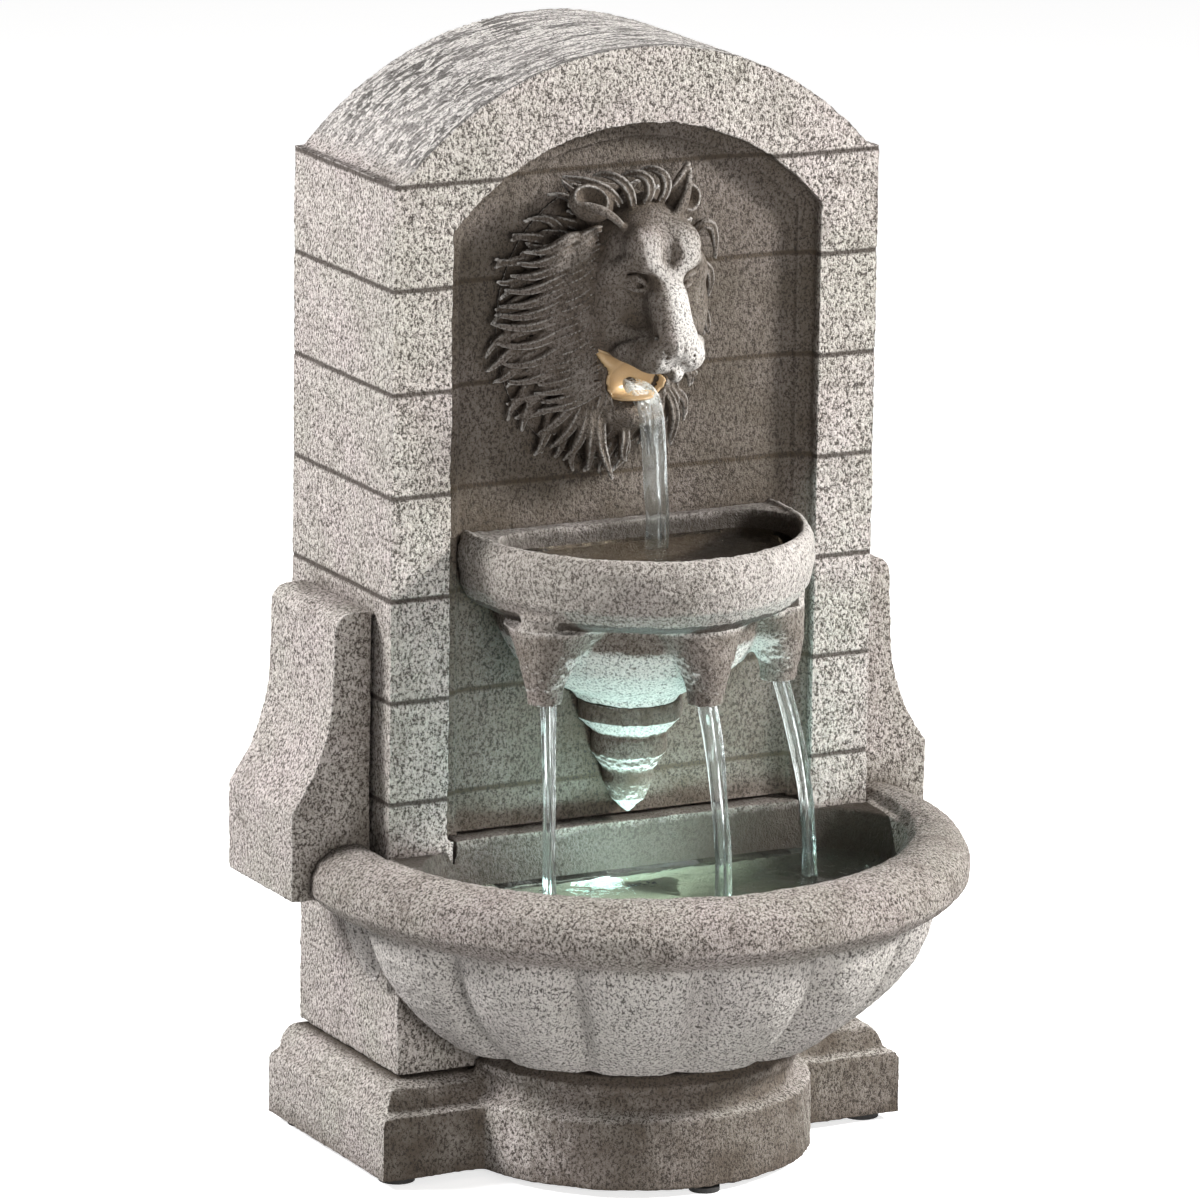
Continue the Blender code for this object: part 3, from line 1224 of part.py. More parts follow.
def make_pump_cover():
    """The volute cover with its intake holes, outlet and dial seat."""
    foot, axis, top = pump_levels()
    _, joint, face = pump_stations()
    half = PUMP_DEPTH / 2 - 0.001
    start = joint + GAP
    obj = place("pump_cover", box_mesh("pump_cover", (start, face), (PUMP_Y - half, PUMP_Y + half),
                (foot + 0.001, top - 0.001)), black_plastic("cover_plastic"))
    soften(obj, 0.003, 2)
    outlet_x, outlet_y = outlet_spot()
    join(obj, rod_cutter("outlet_tube", OUTLET_RADIUS, (outlet_x, outlet_y, top - 0.004),
                         (outlet_x, outlet_y, top + OUTLET_LENGTH), 20))
    inner_face = face - COVER_FACE
    chamber = rod_cutter("volute", CHAMBER_RADIUS, (start - OVERSHOOT, PUMP_Y, axis),
                         (inner_face, PUMP_Y, axis), 28)
    seat = rod_cutter("cover_shaft_seat", SHAFT_RADIUS + GAP, (inner_face - 0.001, PUMP_Y, axis),
                      (inner_face + SHAFT_SEAT, PUMP_Y, axis), 16)
    bore = rod_cutter("outlet_bore", OUTLET_BORE, (outlet_x, outlet_y, axis),
                      (outlet_x, outlet_y, top + OUTLET_LENGTH + OVERSHOOT), 16)
    dial_hole = rod_cutter("dial_hole", DIAL_PIN_RADIUS + GAP,
                           (face - DIAL_PIN_LENGTH - GAP, PUMP_Y, axis),
                           (face + OVERSHOOT, PUMP_Y, axis), 16)
    bm = bmesh.new()
    for y, z in intake_spots():
        add_rod(bm, INTAKE_HOLE, (inner_face - 0.002, y, z), (face + OVERSHOOT, y, z), 12)
    intake = hide_cutter("intake_holes", mesh_from(bm, "intake_holes"))
    cut(obj, chamber, seat, bore, dial_hole, intake)
    return obj


def outlet_spot():
    """Plan position of the pump's upright outlet."""
    _, joint, face = pump_stations()
    return ((joint + face - COVER_FACE) / 2, PUMP_Y + OUTLET_OFFSET)


def intake_spots():
    """Intake holes on the upper part of a circle round the pump's axis."""
    axis = pump_levels()[1]
    spots = []
    for k in range(INTAKE_COUNT):
        angle = math.radians(90 + (k - (INTAKE_COUNT - 1) / 2) * 45)
        spots.append((PUMP_Y + INTAKE_RADIUS * math.cos(angle), axis + INTAKE_RADIUS * math.sin(angle)))
    return spots


def vane_ring(x, axis):
    """Outline of hub and vanes across the pump's axis."""
    ring = []
    root = math.asin(VANE_THICKNESS / 2 / HUB_RADIUS)
    tip = math.asin(VANE_THICKNESS / 2 / VANE_RADIUS)
    for k in range(VANE_COUNT):
        middle = math.tau * k / VANE_COUNT
        between = middle + math.pi / VANE_COUNT
        for radius, angle in ((HUB_RADIUS, middle - root), (VANE_RADIUS, middle - tip),
                              (VANE_RADIUS, middle + tip), (HUB_RADIUS, middle + root),
                              (HUB_RADIUS, between)):
            ring.append(world(x, PUMP_Y + radius * math.cos(angle), axis + radius * math.sin(angle)))
    return ring


def make_impeller():
    """Rotor magnet, hub and vanes on one bored body."""
    axis = pump_levels()[1]
    _, joint, _ = pump_stations()
    start = rotor_start()
    end = joint + GAP + VANE_LENGTH
    white = material("impeller_plastic", (0.75, 0.74, 0.70), 0.4)
    obj = place("impeller", rod_mesh("impeller", ROTOR_RADIUS, (0, 0, 0), (ROTOR_LENGTH + 0.002, 0, 0), 24),
                white, (start, PUMP_Y, axis))
    obj.data.transform(Matrix.Translation((0, -FACE_Y, 0)))
    obj.location = world(start, PUMP_Y, axis)
    rings = [vane_ring(x, axis) for x in (joint + 2 * GAP, end)]
    join(obj, hide_cutter("impeller_vanes", loft_mesh("impeller_vanes", rings)))
    cut(obj, rod_cutter("impeller_bore", SHAFT_RADIUS + GAP, (start - OVERSHOOT, PUMP_Y, axis),
                        (end + OVERSHOOT, PUMP_Y, axis), 16))
    return obj


def make_shaft():
    """The fixed ceramic axle between motor block and cover."""
    axis = pump_levels()[1]
    _, _, face = pump_stations()
    start = rotor_start() - ROTOR_WELL_CLEARANCE - SHAFT_SEAT + GAP
    end = face - COVER_FACE + SHAFT_SEAT - GAP
    place("impeller_shaft", rod_mesh("impeller_shaft", SHAFT_RADIUS, (start, PUMP_Y, axis),
          (end, PUMP_Y, axis), 16), material("ceramic", (0.9, 0.88, 0.84), 0.2))


def make_dial():
    """The flow dial on the cover's face, its pin in the cover."""
    axis = pump_levels()[1]
    face = pump_stations()[2]
    start = face + GAP
    obj = place("flow_dial", rod_mesh("flow_dial", DIAL_RADIUS, (0, -FACE_Y, 0), (DIAL_THICKNESS, -FACE_Y, 0), 28),
                material("dial_plastic", (0.10, 0.16, 0.30), 0.45), world(start, PUMP_Y, axis))
    pin = rod_cutter("dial_pin", DIAL_PIN_RADIUS, (face - DIAL_PIN_LENGTH, PUMP_Y, axis),
                     (start + DIAL_THICKNESS / 2, PUMP_Y, axis), 16)
    grip = box_cutter("dial_grip", (start + DIAL_THICKNESS / 2, start + DIAL_THICKNESS + DIAL_GRIP),
                      (PUMP_Y - DIAL_RADIUS * 0.8, PUMP_Y + DIAL_RADIUS * 0.8), (axis - 0.0016, axis + 0.0016))
    window = box_cutter("dial_window", (start - OVERSHOOT, start + DIAL_THICKNESS + OVERSHOOT),
                        (PUMP_Y - 0.0055, PUMP_Y + 0.0055), (axis + 0.0050, axis + DIAL_RADIUS * 2))
    join(obj, pin, grip)
    cut(obj, window)
    return obj


def make_suction_cups():
    """Four rubber cups under the motor block."""
    foot = pump_levels()[0]
    low = TANK_FLOOR + GAP
    high = foot - GAP
    profile = [(0.0, high), (CUP_NECK, high), (CUP_NECK, low + 0.0028), (CUP_RADIUS, low + 0.0008),
               (CUP_RADIUS, low), (0.0, low)]
    for label, side in (("left", -1), ("right", 1)):
        for end, dy in (("front", -0.013), ("back", 0.013)):
            turned("suction_cup_%s_%s" % (end, label), profile,
                   black_rubber("cup_%s_%s" % (end, label)),
                   (PUMP_X + side * 0.012, PUMP_Y + dy, 0), steps=20)


def hose_route():
    """The hose's middle line: up from the pump, then forward to the spout's tail."""
    top = pump_levels()[2]
    x, y = outlet_spot()
    low = top + OUTLET_LENGTH - HOSE_SLEEVE
    end_y = SPOUT_TAIL_END - HOSE_SLEEVE
    turn_y = SPOUT_TAIL_END + 0.001 + HOSE_BEND
    turn_z = SPOUT_AXIS_Z - HOSE_BEND
    points = [(x, y, low)]
    rows = 12
    rise = turn_z - low
    for k in range(1, rows + 1):
        t = k / rows
        ease = max(0.0, min(1.0, (t - 0.12) / 0.80))
        blend = ease * ease * (3 - 2 * ease)
        points.append((x + (LION_X - x) * blend, y + (turn_y - y) * blend, low + rise * t))
    for k in range(1, 9):
        angle = math.radians(90 * k / 8)
        points.append((LION_X, turn_y - HOSE_BEND * (1 - math.cos(angle)),
                       turn_z + HOSE_BEND * math.sin(angle)))
    points.append((LION_X, end_y, SPOUT_AXIS_Z))
    return points


def tube_mesh(name, points, radius):
    """A closed tube along points, welded into one mesh."""
    curve = bpy.data.curves.new(name, "CURVE")
    curve.dimensions = "3D"
    curve.bevel_depth = radius
    curve.bevel_resolution = 4
    curve.use_fill_caps = True
    spline = curve.splines.new("POLY")
    spline.points.add(len(points) - 1)
    for spot, point in zip(spline.points, points):
        spot.co = (*world(*point), 1.0)
    guide = bpy.data.objects.new(name + "_line", curve)
    CUTTERS.objects.link(guide)
    depsgraph = bpy.context.evaluated_depsgraph_get()
    mesh = bpy.data.meshes.new_from_object(guide.evaluated_get(depsgraph))
    bpy.data.objects.remove(guide, do_unlink=True)
    bm = bmesh.new()
    bm.from_mesh(mesh)
    bmesh.ops.remove_doubles(bm, verts=bm.verts, dist=0.00001)
    return mesh_from(bm, name)


def make_hose():
    """The riser hose from the pump to the mouth spout."""
    route = hose_route()
    clear = material("hose_plastic", (0.72, 0.74, 0.74), 0.25)
    obj = place("riser_hose", tube_mesh("riser_hose", route, HOSE_RADIUS), clear)
    before = (route[0][0], route[0][1], route[0][2] - OVERSHOOT)
    after = (route[-1][0], route[-1][1] - OVERSHOOT, route[-1][2])
    bore = hide_cutter("hose_bore", tube_mesh("hose_bore", [before] + route + [after], HOSE_BORE))
    cut(obj, bore)
    return obj


def make_clamps():
    """Spring clamps on the hose's two ends."""
    route = hose_route()
    half = CLAMP_WIDTH / 2
    inner = HOSE_RADIUS + GAP
    x, y, z = route[0]
    middle = z + HOSE_SLEEVE / 2
    lower = turned("hose_clamp_lower", ring_profile(inner, CLAMP_RADIUS, -half, half),
                   steel("clamp_lower_steel"), (x, y, middle), steps=24, closed=True)
    join(lower, box_cutter("clamp_lower_ear", (x - 0.0012, x + 0.0012),
                           (y + inner + 0.0004, y + CLAMP_RADIUS + CLAMP_EAR), (middle - half, middle + half)))
    x, y, z = route[-1]
    middle = y + HOSE_SLEEVE / 2
    upper = turned("hose_clamp_upper", ring_profile(inner, CLAMP_RADIUS, -half, half),
                   steel("clamp_upper_steel"), (x, middle, z), ALONG_Y, 24, True)
    join(upper, box_cutter("clamp_upper_ear", (x - 0.0012, x + 0.0012), (middle - half, middle + half),
                           (z + inner + 0.0004, z + CLAMP_RADIUS + CLAMP_EAR)))


def make_lamp():
    """The round lamp on the basin's floor: housing, board, lens and bezel."""
    low = BASIN_FLOOR_Z + GAP
    top = low + LAMP_HEIGHT
    housing = [(0.0, low + LAMP_FLOOR), (LAMP_WELL_RADIUS, low + LAMP_FLOOR), (LAMP_WELL_RADIUS, top),
               (LAMP_RADIUS, top), (LAMP_RADIUS + 0.002, top - 0.003), (LAMP_RADIUS + 0.002, low),
               (0.0, low)]
    turned("lamp_housing", housing, black_plastic("lamp_plastic"), (0, LAMP_Y, 0), steps=36)
    board_low = low + LAMP_FLOOR + GAP
    inner = LAMP_WELL_RADIUS - GAP
    place("lamp_board", rod_mesh("lamp_board", inner, (0, LAMP_Y, board_low),
          (0, LAMP_Y, board_low + BOARD_THICKNESS), 28), material("board_green", (0.05, 0.25, 0.12), 0.5))
    lens_low = board_low + BOARD_THICKNESS + GAP
    edge = top - 0.001
    lens = [(0.0, edge + LENS_RISE), (inner * 0.45, edge + LENS_RISE * 0.82),
            (inner * 0.75, edge + LENS_RISE * 0.4), (inner - BEZEL_LIP - GAP, edge),
            (inner, edge), (inner, lens_low), (0.0, lens_low)]
    turned("lamp_lens", lens, material("lens_clear", (0.65, 0.95, 0.88), 0.1), (0, LAMP_Y, 0), steps=36)
    bezel_inner = inner - BEZEL_LIP + 0.0006
    bezel = ring_profile(bezel_inner, LAMP_RADIUS + 0.001, top + GAP, top + GAP + BEZEL_HEIGHT)
    turned("lamp_bezel", bezel, steel("bezel_steel"), (0, LAMP_Y, 0), steps=36, closed=True)


def make_door():
    """The hinged service door with its pin holes and shaft hole."""
    x, y = hinge_axis()
    plastic = material("door_plastic", (0.40, 0.37, 0.33), 0.8)
    low = DOOR_BOTTOM + 2 * GAP
    high = DOOR_TOP - 2 * GAP
    mesh = box_mesh("service_door", (-DOOR_EDGE - x, DOOR_EDGE - x),
                    (DOOR_INNER - y - FACE_Y, DOOR_INNER + DOOR_THICKNESS - y - FACE_Y), (low, high))
    obj = place("service_door", mesh, plastic, world(x, y, 0))
    bm = bmesh.new()
    add_rod(bm, PIN_HOLE, (x, y, low - OVERSHOOT), (x, y, low + PIN_REACH), 16)
    add_rod(bm, PIN_HOLE, (x, y, high - PIN_REACH), (x, y, high + OVERSHOOT), 16)
    holes = hide_cutter("door_pin_holes", mesh_from(bm, "door_pin_holes"))
    shaft = rod_cutter("door_shaft_hole", KNOB_SHAFT + GAP, (knob_x(), DOOR_INNER - OVERSHOOT, KNOB_Z),
                       (knob_x(), DOOR_INNER + DOOR_THICKNESS + OVERSHOOT, KNOB_Z), 16)
    cut(obj, holes, shaft)
    return obj


def knob_x():
    """Where the latch's shaft passes through the door."""
    return DOOR_EDGE - KNOB_INSET


def make_hinge_pins():
    """Two short pins between the column and the door."""
    x, y = hinge_axis()
    reach = PIN_REACH - GAP
    for name, z in (("door_hinge_pin_lower", DOOR_BOTTOM), ("door_hinge_pin_upper", DOOR_TOP)):
        place(name, rod_mesh(name, PIN_RADIUS, (x, y, z - reach), (x, y, z + reach), 16),
              steel(name + "_steel"))


def make_latch():
    """The quarter-turn knob, its shaft through the door, and the cam inside."""
    x = knob_x()
    outer = DOOR_INNER + DOOR_THICKNESS + GAP
    cam_front = COLUMN_DEPTH - BACK_WALL - GAP
    cam_back = cam_front - CAM_THICKNESS
    end = cam_back
    profile_end = outer + KNOB_DISC
    knob = place("latch_knob", rod_mesh("latch_knob", KNOB_RADIUS, (0, outer - FACE_Y, 0),
                 (0, profile_end - FACE_Y, 0), 28), black_plastic("knob_plastic"), world(x, 0, KNOB_Z))
    grip = box_cutter("knob_grip", (x - 0.0018, x + 0.0018), (profile_end - 0.001, profile_end + KNOB_GRIP),
                      (KNOB_Z - KNOB_RADIUS * 0.85, KNOB_Z + KNOB_RADIUS * 0.85))
    shaft = rod_cutter("knob_shaft", KNOB_SHAFT, (x, end, KNOB_Z), (x, outer + KNOB_DISC / 2, KNOB_Z), 16)
    join(knob, grip, shaft)
    cam = place("latch_cam", box_mesh("latch_cam", (-CAM_WIDTH / 2, CAM_WIDTH / 2),
                (cam_back - FACE_Y, cam_front - FACE_Y), (-CAM_TAIL, CAM_REACH)), steel("cam_steel"),
                world(x, 0, KNOB_Z))
    cut(cam, rod_cutter("cam_hole", KNOB_SHAFT + GAP, (x, cam_back - OVERSHOOT, KNOB_Z),
                        (x, cam_front + OVERSHOOT, KNOB_Z), 16))


def make_gland():
    """The rubber cable gland in the back wall and its nut inside."""
    back = COLUMN_DEPTH - GAP
    recess = back - GLAND_FLANGE_THICKNESS
    inner_wall = COLUMN_DEPTH - BACK_WALL
    front = inner_wall - GLAND_TAIL
    profile = [(GLAND_FLANGE, back), (GLAND_FLANGE, recess), (GLAND_RADIUS, recess),
               (GLAND_RADIUS, front), (GLAND_BORE, front), (GLAND_BORE, back)]
    turned("cable_gland", profile, black_rubber("gland_rubber"), (GLAND_X, 0, GLAND_Z), ALONG_Y, 28, True)
    nut_back = inner_wall - GAP
    make_nut("gland_nut", (GLAND_X, GLAND_Z), nut_back - GLAND_NUT_LENGTH, nut_back,
             GLAND_NUT, GLAND_RADIUS + GAP)


def main():
    """Build the whole fountain."""
    clear_scene()
    make_collections()
    make_column()
    make_buttress("left_buttress", -1)
    make_buttress("right_buttress", 1)
    make_pedestal()
    make_plinth()
    make_feet()
    make_lower_basin()
    make_grille()
    make_upper_bowl()
    make_pendant()
    make_lion()
    make_mouth_spout()
    make_spout_fixings()
    make_wall_bolts()
    make_buttress_bolts()
    make_pump_housing()
    make_pump_cover()
    make_impeller()
    make_shaft()
    make_dial()
    make_suction_cups()
    make_hose()
    make_clamps()
    make_lamp()
    make_door()
    make_hinge_pins()
    make_latch()
    make_gland()


main()
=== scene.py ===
"""Looks of the lion head fountain: weathered cast stone, running water and a lit basin."""
import copy
import itertools
import json
import math

import bmesh
import bpy
import numpy as np
from mathutils import Matrix, Vector


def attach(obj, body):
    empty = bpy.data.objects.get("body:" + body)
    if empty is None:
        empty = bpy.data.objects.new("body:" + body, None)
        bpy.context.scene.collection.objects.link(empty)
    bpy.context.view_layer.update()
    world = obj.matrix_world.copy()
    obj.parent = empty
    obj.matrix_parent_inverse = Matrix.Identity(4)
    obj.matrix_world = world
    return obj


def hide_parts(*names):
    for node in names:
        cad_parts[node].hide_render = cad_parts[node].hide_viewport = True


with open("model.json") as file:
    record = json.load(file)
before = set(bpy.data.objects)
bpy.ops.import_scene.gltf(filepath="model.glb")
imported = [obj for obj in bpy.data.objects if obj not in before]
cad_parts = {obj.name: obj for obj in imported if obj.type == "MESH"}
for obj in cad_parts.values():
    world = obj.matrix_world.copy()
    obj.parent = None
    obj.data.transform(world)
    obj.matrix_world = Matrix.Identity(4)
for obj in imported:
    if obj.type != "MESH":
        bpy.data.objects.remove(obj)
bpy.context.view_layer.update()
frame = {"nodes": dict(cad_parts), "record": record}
NODES = frame["nodes"]

# Sizes that the looks share with the frame, in metres
FACE_Y = 0.0395
NICHE_Y = FACE_Y + 0.0165
NICHE_HALF = 0.1315
SHOULDER_Z = 0.711
COURSE = 0.073
FIRST_COURSE = SHOULDER_Z - 0.0032
LION_X = -0.008
BOWL_X = -0.006
BASIN_WATER_Z = 0.2045
BOWL_WATER_Z = 0.444
SPOUT_Z = 0.556
BASIN_WET_Z = BASIN_WATER_Z + 0.034
BOWL_WET_Z = BOWL_WATER_Z + 0.013
GLOW_Y = FACE_Y - 0.055

# The bowl's spouts as (angle in degrees, reach), and their flare as (radius, height)
SPOUTS = ((212.7, 0.1129), (273.7, 0.1072), (323.7, 0.108))
SPOUT_SLEEVE = 0.0115
SPOUT_FLARE = ((0.013, 0.352), (0.016, 0.364), (0.0215, 0.378), (0.03, 0.391), (0.042, 0.4032))
SPOUT_FLARE_LIMIT = 0.0185

# Half width and depth of the bowl's inside, and heights where the looks change, in metres
BOWL_INSIDE = (0.119, 0.13)
BOWL_FLOOR_Z = (0.4038, 0.4042)
BASIN_FLOOR_Z = (0.1165, 0.1175)
LOWEST_GROOVE_Z = 0.262
ROOF_Z = (0.712, 0.722)
BAND_FOOT_Z = (0.3985, 0.4045)
BELLY_SHADE_Z = (0.381, 0.391)
RIM_FOOT_Z = (0.184, 0.2)
FALL_TOP_Z = 0.352
FALL_DIP = 0.003

# The photograph's camera; its place is in half widths of the column, from the foot of the column's face
UNIT = 0.191
FRAME_PIXELS = 1200
FOCAL_PIXELS = 8979
CAMERA_ANGLES = (-27.37, 13.675, 0.82)
CAMERA_PLACE = (-14.872, -28.451, 9.878)


def add_object(name, data):
    """Add a new object to the scene."""
    obj = bpy.data.objects.new(name, data)
    bpy.context.scene.collection.objects.link(obj)
    return obj


def make_camera():
    """Put the camera where the photograph was taken from."""
    data = bpy.data.cameras.new("photo_camera")
    data.sensor_width = 36.0
    data.lens = FOCAL_PIXELS / FRAME_PIXELS * data.sensor_width
    data.clip_end = 100.0
    obj = add_object("photo_camera", data)
    yaw, pitch, roll = (math.radians(a) for a in CAMERA_ANGLES)
    forward = Vector((-math.sin(yaw) * math.cos(pitch), math.cos(yaw) * math.cos(pitch), -math.sin(pitch)))
    right = Vector((math.cos(yaw), math.sin(yaw), 0.0))
    above = right.cross(forward)
    x_axis = math.cos(roll) * right + math.sin(roll) * above
    y_axis = math.cos(roll) * above - math.sin(roll) * right
    place = Vector(CAMERA_PLACE) * UNIT + Vector((0.0, FACE_Y, 0.004))
    rows = [(x_axis[i], y_axis[i], -forward[i], place[i]) for i in range(3)]
    obj.matrix_world = Matrix(rows + [(0, 0, 0, 1)])
    bpy.context.scene.camera = obj


class Shader:
    """A material's node tree, built from short calls."""

    def __init__(self, name):
        self.material = bpy.data.materials.new(name)
        self.material.use_nodes = True
        self.tree = self.material.node_tree
        self.bsdf = self.tree.nodes["Principled BSDF"]
        self.output = self.tree.nodes["Material Output"]
        self.place = self.node("ShaderNodeTexCoord").outputs["Object"]

    def link(self, source, target):
        """Link a socket, or set a plain value on it; a colour is given without its alpha."""
        if isinstance(source, bpy.types.NodeSocket):
            self.tree.links.new(source, target)
        else:
            target.default_value = (*source, 1.0) if target.type == "RGBA" else source

    def set(self, node, **inputs):
        """Set a node's inputs, which are named with underscores for spaces."""
        for key, value in inputs.items():
            self.link(value, node.inputs[key.replace("_", " ")])
        return node

    def plug(self, made, *values):
        """Fill a node's inputs in their order."""
        for socket, value in zip(made.inputs, values):
            self.link(value, socket)
        return made.outputs[0]

    def node(self, kind, settings=None, **inputs):
        """Add a node with settings and inputs."""
        made = self.tree.nodes.new(kind)
        for key, value in (settings or {}).items():
            setattr(made, key, value)
        return self.set(made, **inputs)

    def math(self, operation, a, b=0.0):
        """A Math node's result."""
        return self.plug(self.node("ShaderNodeMath", {"operation": operation}), a, b)

    def times(self, first, *others):
        """The product of several values."""
        for other in others:
            first = self.math("MULTIPLY", first, other)
        return first

    def minus(self, a, b):
        """The difference of two values."""
        return self.math("SUBTRACT", a, b)

    def squares(self, a, b):
        """The sum of two squares."""
        return self.math("ADD", self.times(a, a), self.times(b, b))

    def share(self, first, amount, second):
        """Two values added, the second one with the rest of the first one's share."""
        return self.math("ADD", self.times(first, amount), self.times(second, round(1.0 - amount, 3)))

    def stretch(self, scale):
        """Object coordinates with their own scale on each axis."""
        return self.node("ShaderNodeMapping", Vector=self.place, Scale=scale).outputs[0]

    def noise(self, scale, detail=2.0, roughness=0.5, distortion=0.0, place=None):
        """Fractal noise between 0 and 1."""
        return self.node("ShaderNodeTexNoise", Vector=place or self.place, Scale=scale, Detail=detail,
                         Roughness=roughness, Distortion=distortion).outputs["Fac"]

    def ramp(self, value, low, high, start=0.0, end=1.0):
        """Map a range to another with its ends held."""
        return self.node("ShaderNodeMapRange", {"clamp": True}, Value=value, From_Min=low,
                         From_Max=high, To_Min=start, To_Max=end).outputs[0]

    def mix(self, factor, first, second, blend="MIX"):
        """Mix two colours."""
        made = self.node("ShaderNodeMix", {"data_type": "RGBA", "blend_type": blend})
        for index, value in ((0, factor), (6, first), (7, second)):
            self.link(value, made.inputs[index])
        return made.outputs[2]

    def axes(self, place=None):
        """The three coordinates as separate values."""
        return tuple(self.node("ShaderNodeSeparateXYZ", Vector=place or self.place).outputs)

    def bump(self, height, strength, distance):
        """A bumped normal."""
        return self.node("ShaderNodeBump", Height=height, Strength=strength, Distance=distance).outputs[0]

    def blend(self, factor, first, second):
        """Mix two surface shaders."""
        return self.plug(self.node("ShaderNodeMixShader"), factor, first, second)

    def finish(self, colour, roughness, normal):
        """Link the main results to the surface shader."""
        self.set(self.bsdf, Base_Color=colour, Roughness=roughness, Normal=normal)
        return self.material


# Colours of the stone: its grains, its pits, a brown for its recesses and painted shade, a pale tone for
# wear and painted highlight, and what lies on it
PALE = (0.725, 0.69, 0.665)
MIDDLE = (0.33, 0.3, 0.272)
PIT = (0.048, 0.04, 0.035)
# A brown for random patches, and for painted shade in recesses, under parts and where masks say
WASH_AND_SHADE = (0.1, 0.077, 0.057)
# A pale tone for worn edges, also used for painted highlights
WEAR_AND_HIGHLIGHT = (0.8, 0.775, 0.745)
MORTAR = (0.05, 0.038, 0.03)
STREAK = (0.072, 0.066, 0.062)
# A stain that also paints the niche's shade
STAIN_AND_SHADE = (0.08, 0.06, 0.041)
WET = (0.03, 0.021, 0.013)
# Painted light of the basin's lamp on the wet stone round it
LIT = (0.5, 0.5, 0.38)


def groove_mask(s, z):
    """1 on the mortar lines, which lie one course apart."""
    step = s.math("DIVIDE", s.minus(FIRST_COURSE + COURSE / 2, z), COURSE)
    off = s.math("ABSOLUTE", s.minus(s.math("FRACT", step), 0.5))
    line = s.ramp(off, 0.001 / COURSE, 0.0026 / COURSE, 1.0, 0.0)
    return s.times(line, s.math("GREATER_THAN", z, LOWEST_GROOVE_Z), s.math("LESS_THAN", z, SHOULDER_Z))


def inside_bowl(s, x, y, z):
    """1 inside the upper bowl."""
    across = s.math("DIVIDE", s.minus(x, BOWL_X), BOWL_INSIDE[0])
    along = s.math("DIVIDE", s.minus(y, FACE_Y), BOWL_INSIDE[1])
    return s.times(s.math("LESS_THAN", s.squares(across, along), 1.0), s.ramp(z, *BOWL_FLOOR_Z))


def inside_basin(s, x, y, z):
    """1 inside the lower basin, whose inner wall widens with the height."""
    reach = s.math("SQRT", s.squares(x, s.minus(y, FACE_Y)))
    limit = s.math("ADD", s.ramp(z, 0.118, 0.15, 0.1085, 0.1575), s.ramp(z, 0.15, 0.206, 0.0, 0.0315))
    return s.times(s.math("LESS_THAN", reach, limit), s.ramp(z, *BASIN_FLOOR_Z))


def proud_parts(s, y, z, facing):
    """Painted shade, partly washed brown, on the lion: 1 in the mask's depths and on its left flanks, 0 on
    the bridge, the right brow and the nose, which get a painted highlight.
    """
    return s.math("MAXIMUM", s.ramp(y, NICHE_Y - 0.076, NICHE_Y - 0.056), s.ramp(facing[0], -0.12, -0.52))


def belly_top(s, y, z, facing):
    """Painted shade at 1: on the spouts, close under the bowl's band, and partly on the band, most on its
    left side; 0 on the underside of its belly, which pale paints with the glow of the basin's lamp.
    """
    low, high = BAND_FOOT_Z
    shade = s.times(s.ramp(facing[2], -0.8, -0.6), s.ramp(z, *BELLY_SHADE_Z))
    below = s.times(s.ramp(z, high, low), s.math("MAXIMUM", shade, s.ramp(facing[2], -0.42, -0.27)))
    band = s.times(s.ramp(z, low, high), s.ramp(facing[0], 0.5, -0.4, 0.2, 0.52))
    return s.math("MAXIMUM", below, band)


def tier_sides(s, y, z, facing):
    """1 on the upright sides of the pendant's tiers, which get painted shade, 0 on their undersides, which
    get a painted glow of the basin's lamp.
    """
    return s.ramp(facing[2], -0.62, -0.4)


def rolled_rim(s, y, z, facing):
    """1 on the basin's rim, 0 on its belly."""
    return s.ramp(z, *RIM_FOOT_Z)


def low_front(s, y, z, facing):
    """1 on what faces the front, where it paints shade, partly washed brown, beside the column and under
    the basin.
    """
    return s.ramp(facing[1], -0.35, -0.75)


def column_marks(s, colour, x, y, z, facing, broad):
    """The column's mortar lines, the painted highlight and brushed streaks on its roof, and the stain and
    painted shade in its niche.
    """
    colour = s.mix(s.times(groove_mask(s, z), 0.86), colour, MORTAR)
    roof = s.ramp(z, *ROOF_Z)
    # Painted highlight: the roof's upward faces are paler
    colour = s.mix(s.times(s.ramp(facing[2], 0.3, 0.8, 0.0, 0.7), roof), colour, WEAR_AND_HIGHLIGHT)
    brush = s.noise(1.0, 4.0, 0.62, 0.35, place=s.stretch((20.0, 230.0, 170.0)))
    lines = s.times(s.ramp(brush, 0.475, 0.54, 0.0, 0.88), s.ramp(broad, 0.35, 0.6, 0.5, 1.0))
    lip = s.ramp(s.math("ABSOLUTE", s.minus(y, FACE_Y + 0.003)), 0.0008, 0.002, 0.85, 0.0)
    lines = s.times(s.math("MAXIMUM", lines, lip), s.ramp(facing[2], 0.2, 0.5), roof)
    colour = s.mix(lines, colour, STREAK)
    # A stain with painted shade: the niche wall is darker
    inner = s.times(s.math("LESS_THAN", s.math("ABSOLUTE", x), NICHE_HALF + 0.0135),
                    s.math("LESS_THAN", z, SHOULDER_Z + 0.03))
    niche_stain_and_shade = s.times(s.ramp(y, FACE_Y + 0.003, FACE_Y + 0.009), inner,
                    s.math("LESS_THAN", y, FACE_Y + 0.024), s.ramp(broad, 0.25, 0.75, 0.72, 0.94))
    return s.mix(niche_stain_and_shade, colour, STAIN_AND_SHADE)


def soak(s, colour, damp, x, y, z, lit):
    """Dark wet stone, and a painted pool of the lamp's light on the stone round the lamp under the water.
    """
    colour = s.mix(damp, colour, WET)
    if lit:
        far = s.math("SQRT", s.squares(x, s.minus(y, GLOW_Y)))
        near = s.times(s.ramp(far, 0.13, 0.05), s.ramp(z, BASIN_WATER_Z - 0.001, BASIN_WATER_Z - 0.006))
        colour = s.mix(s.times(near, damp), colour, LIT)
    return colour


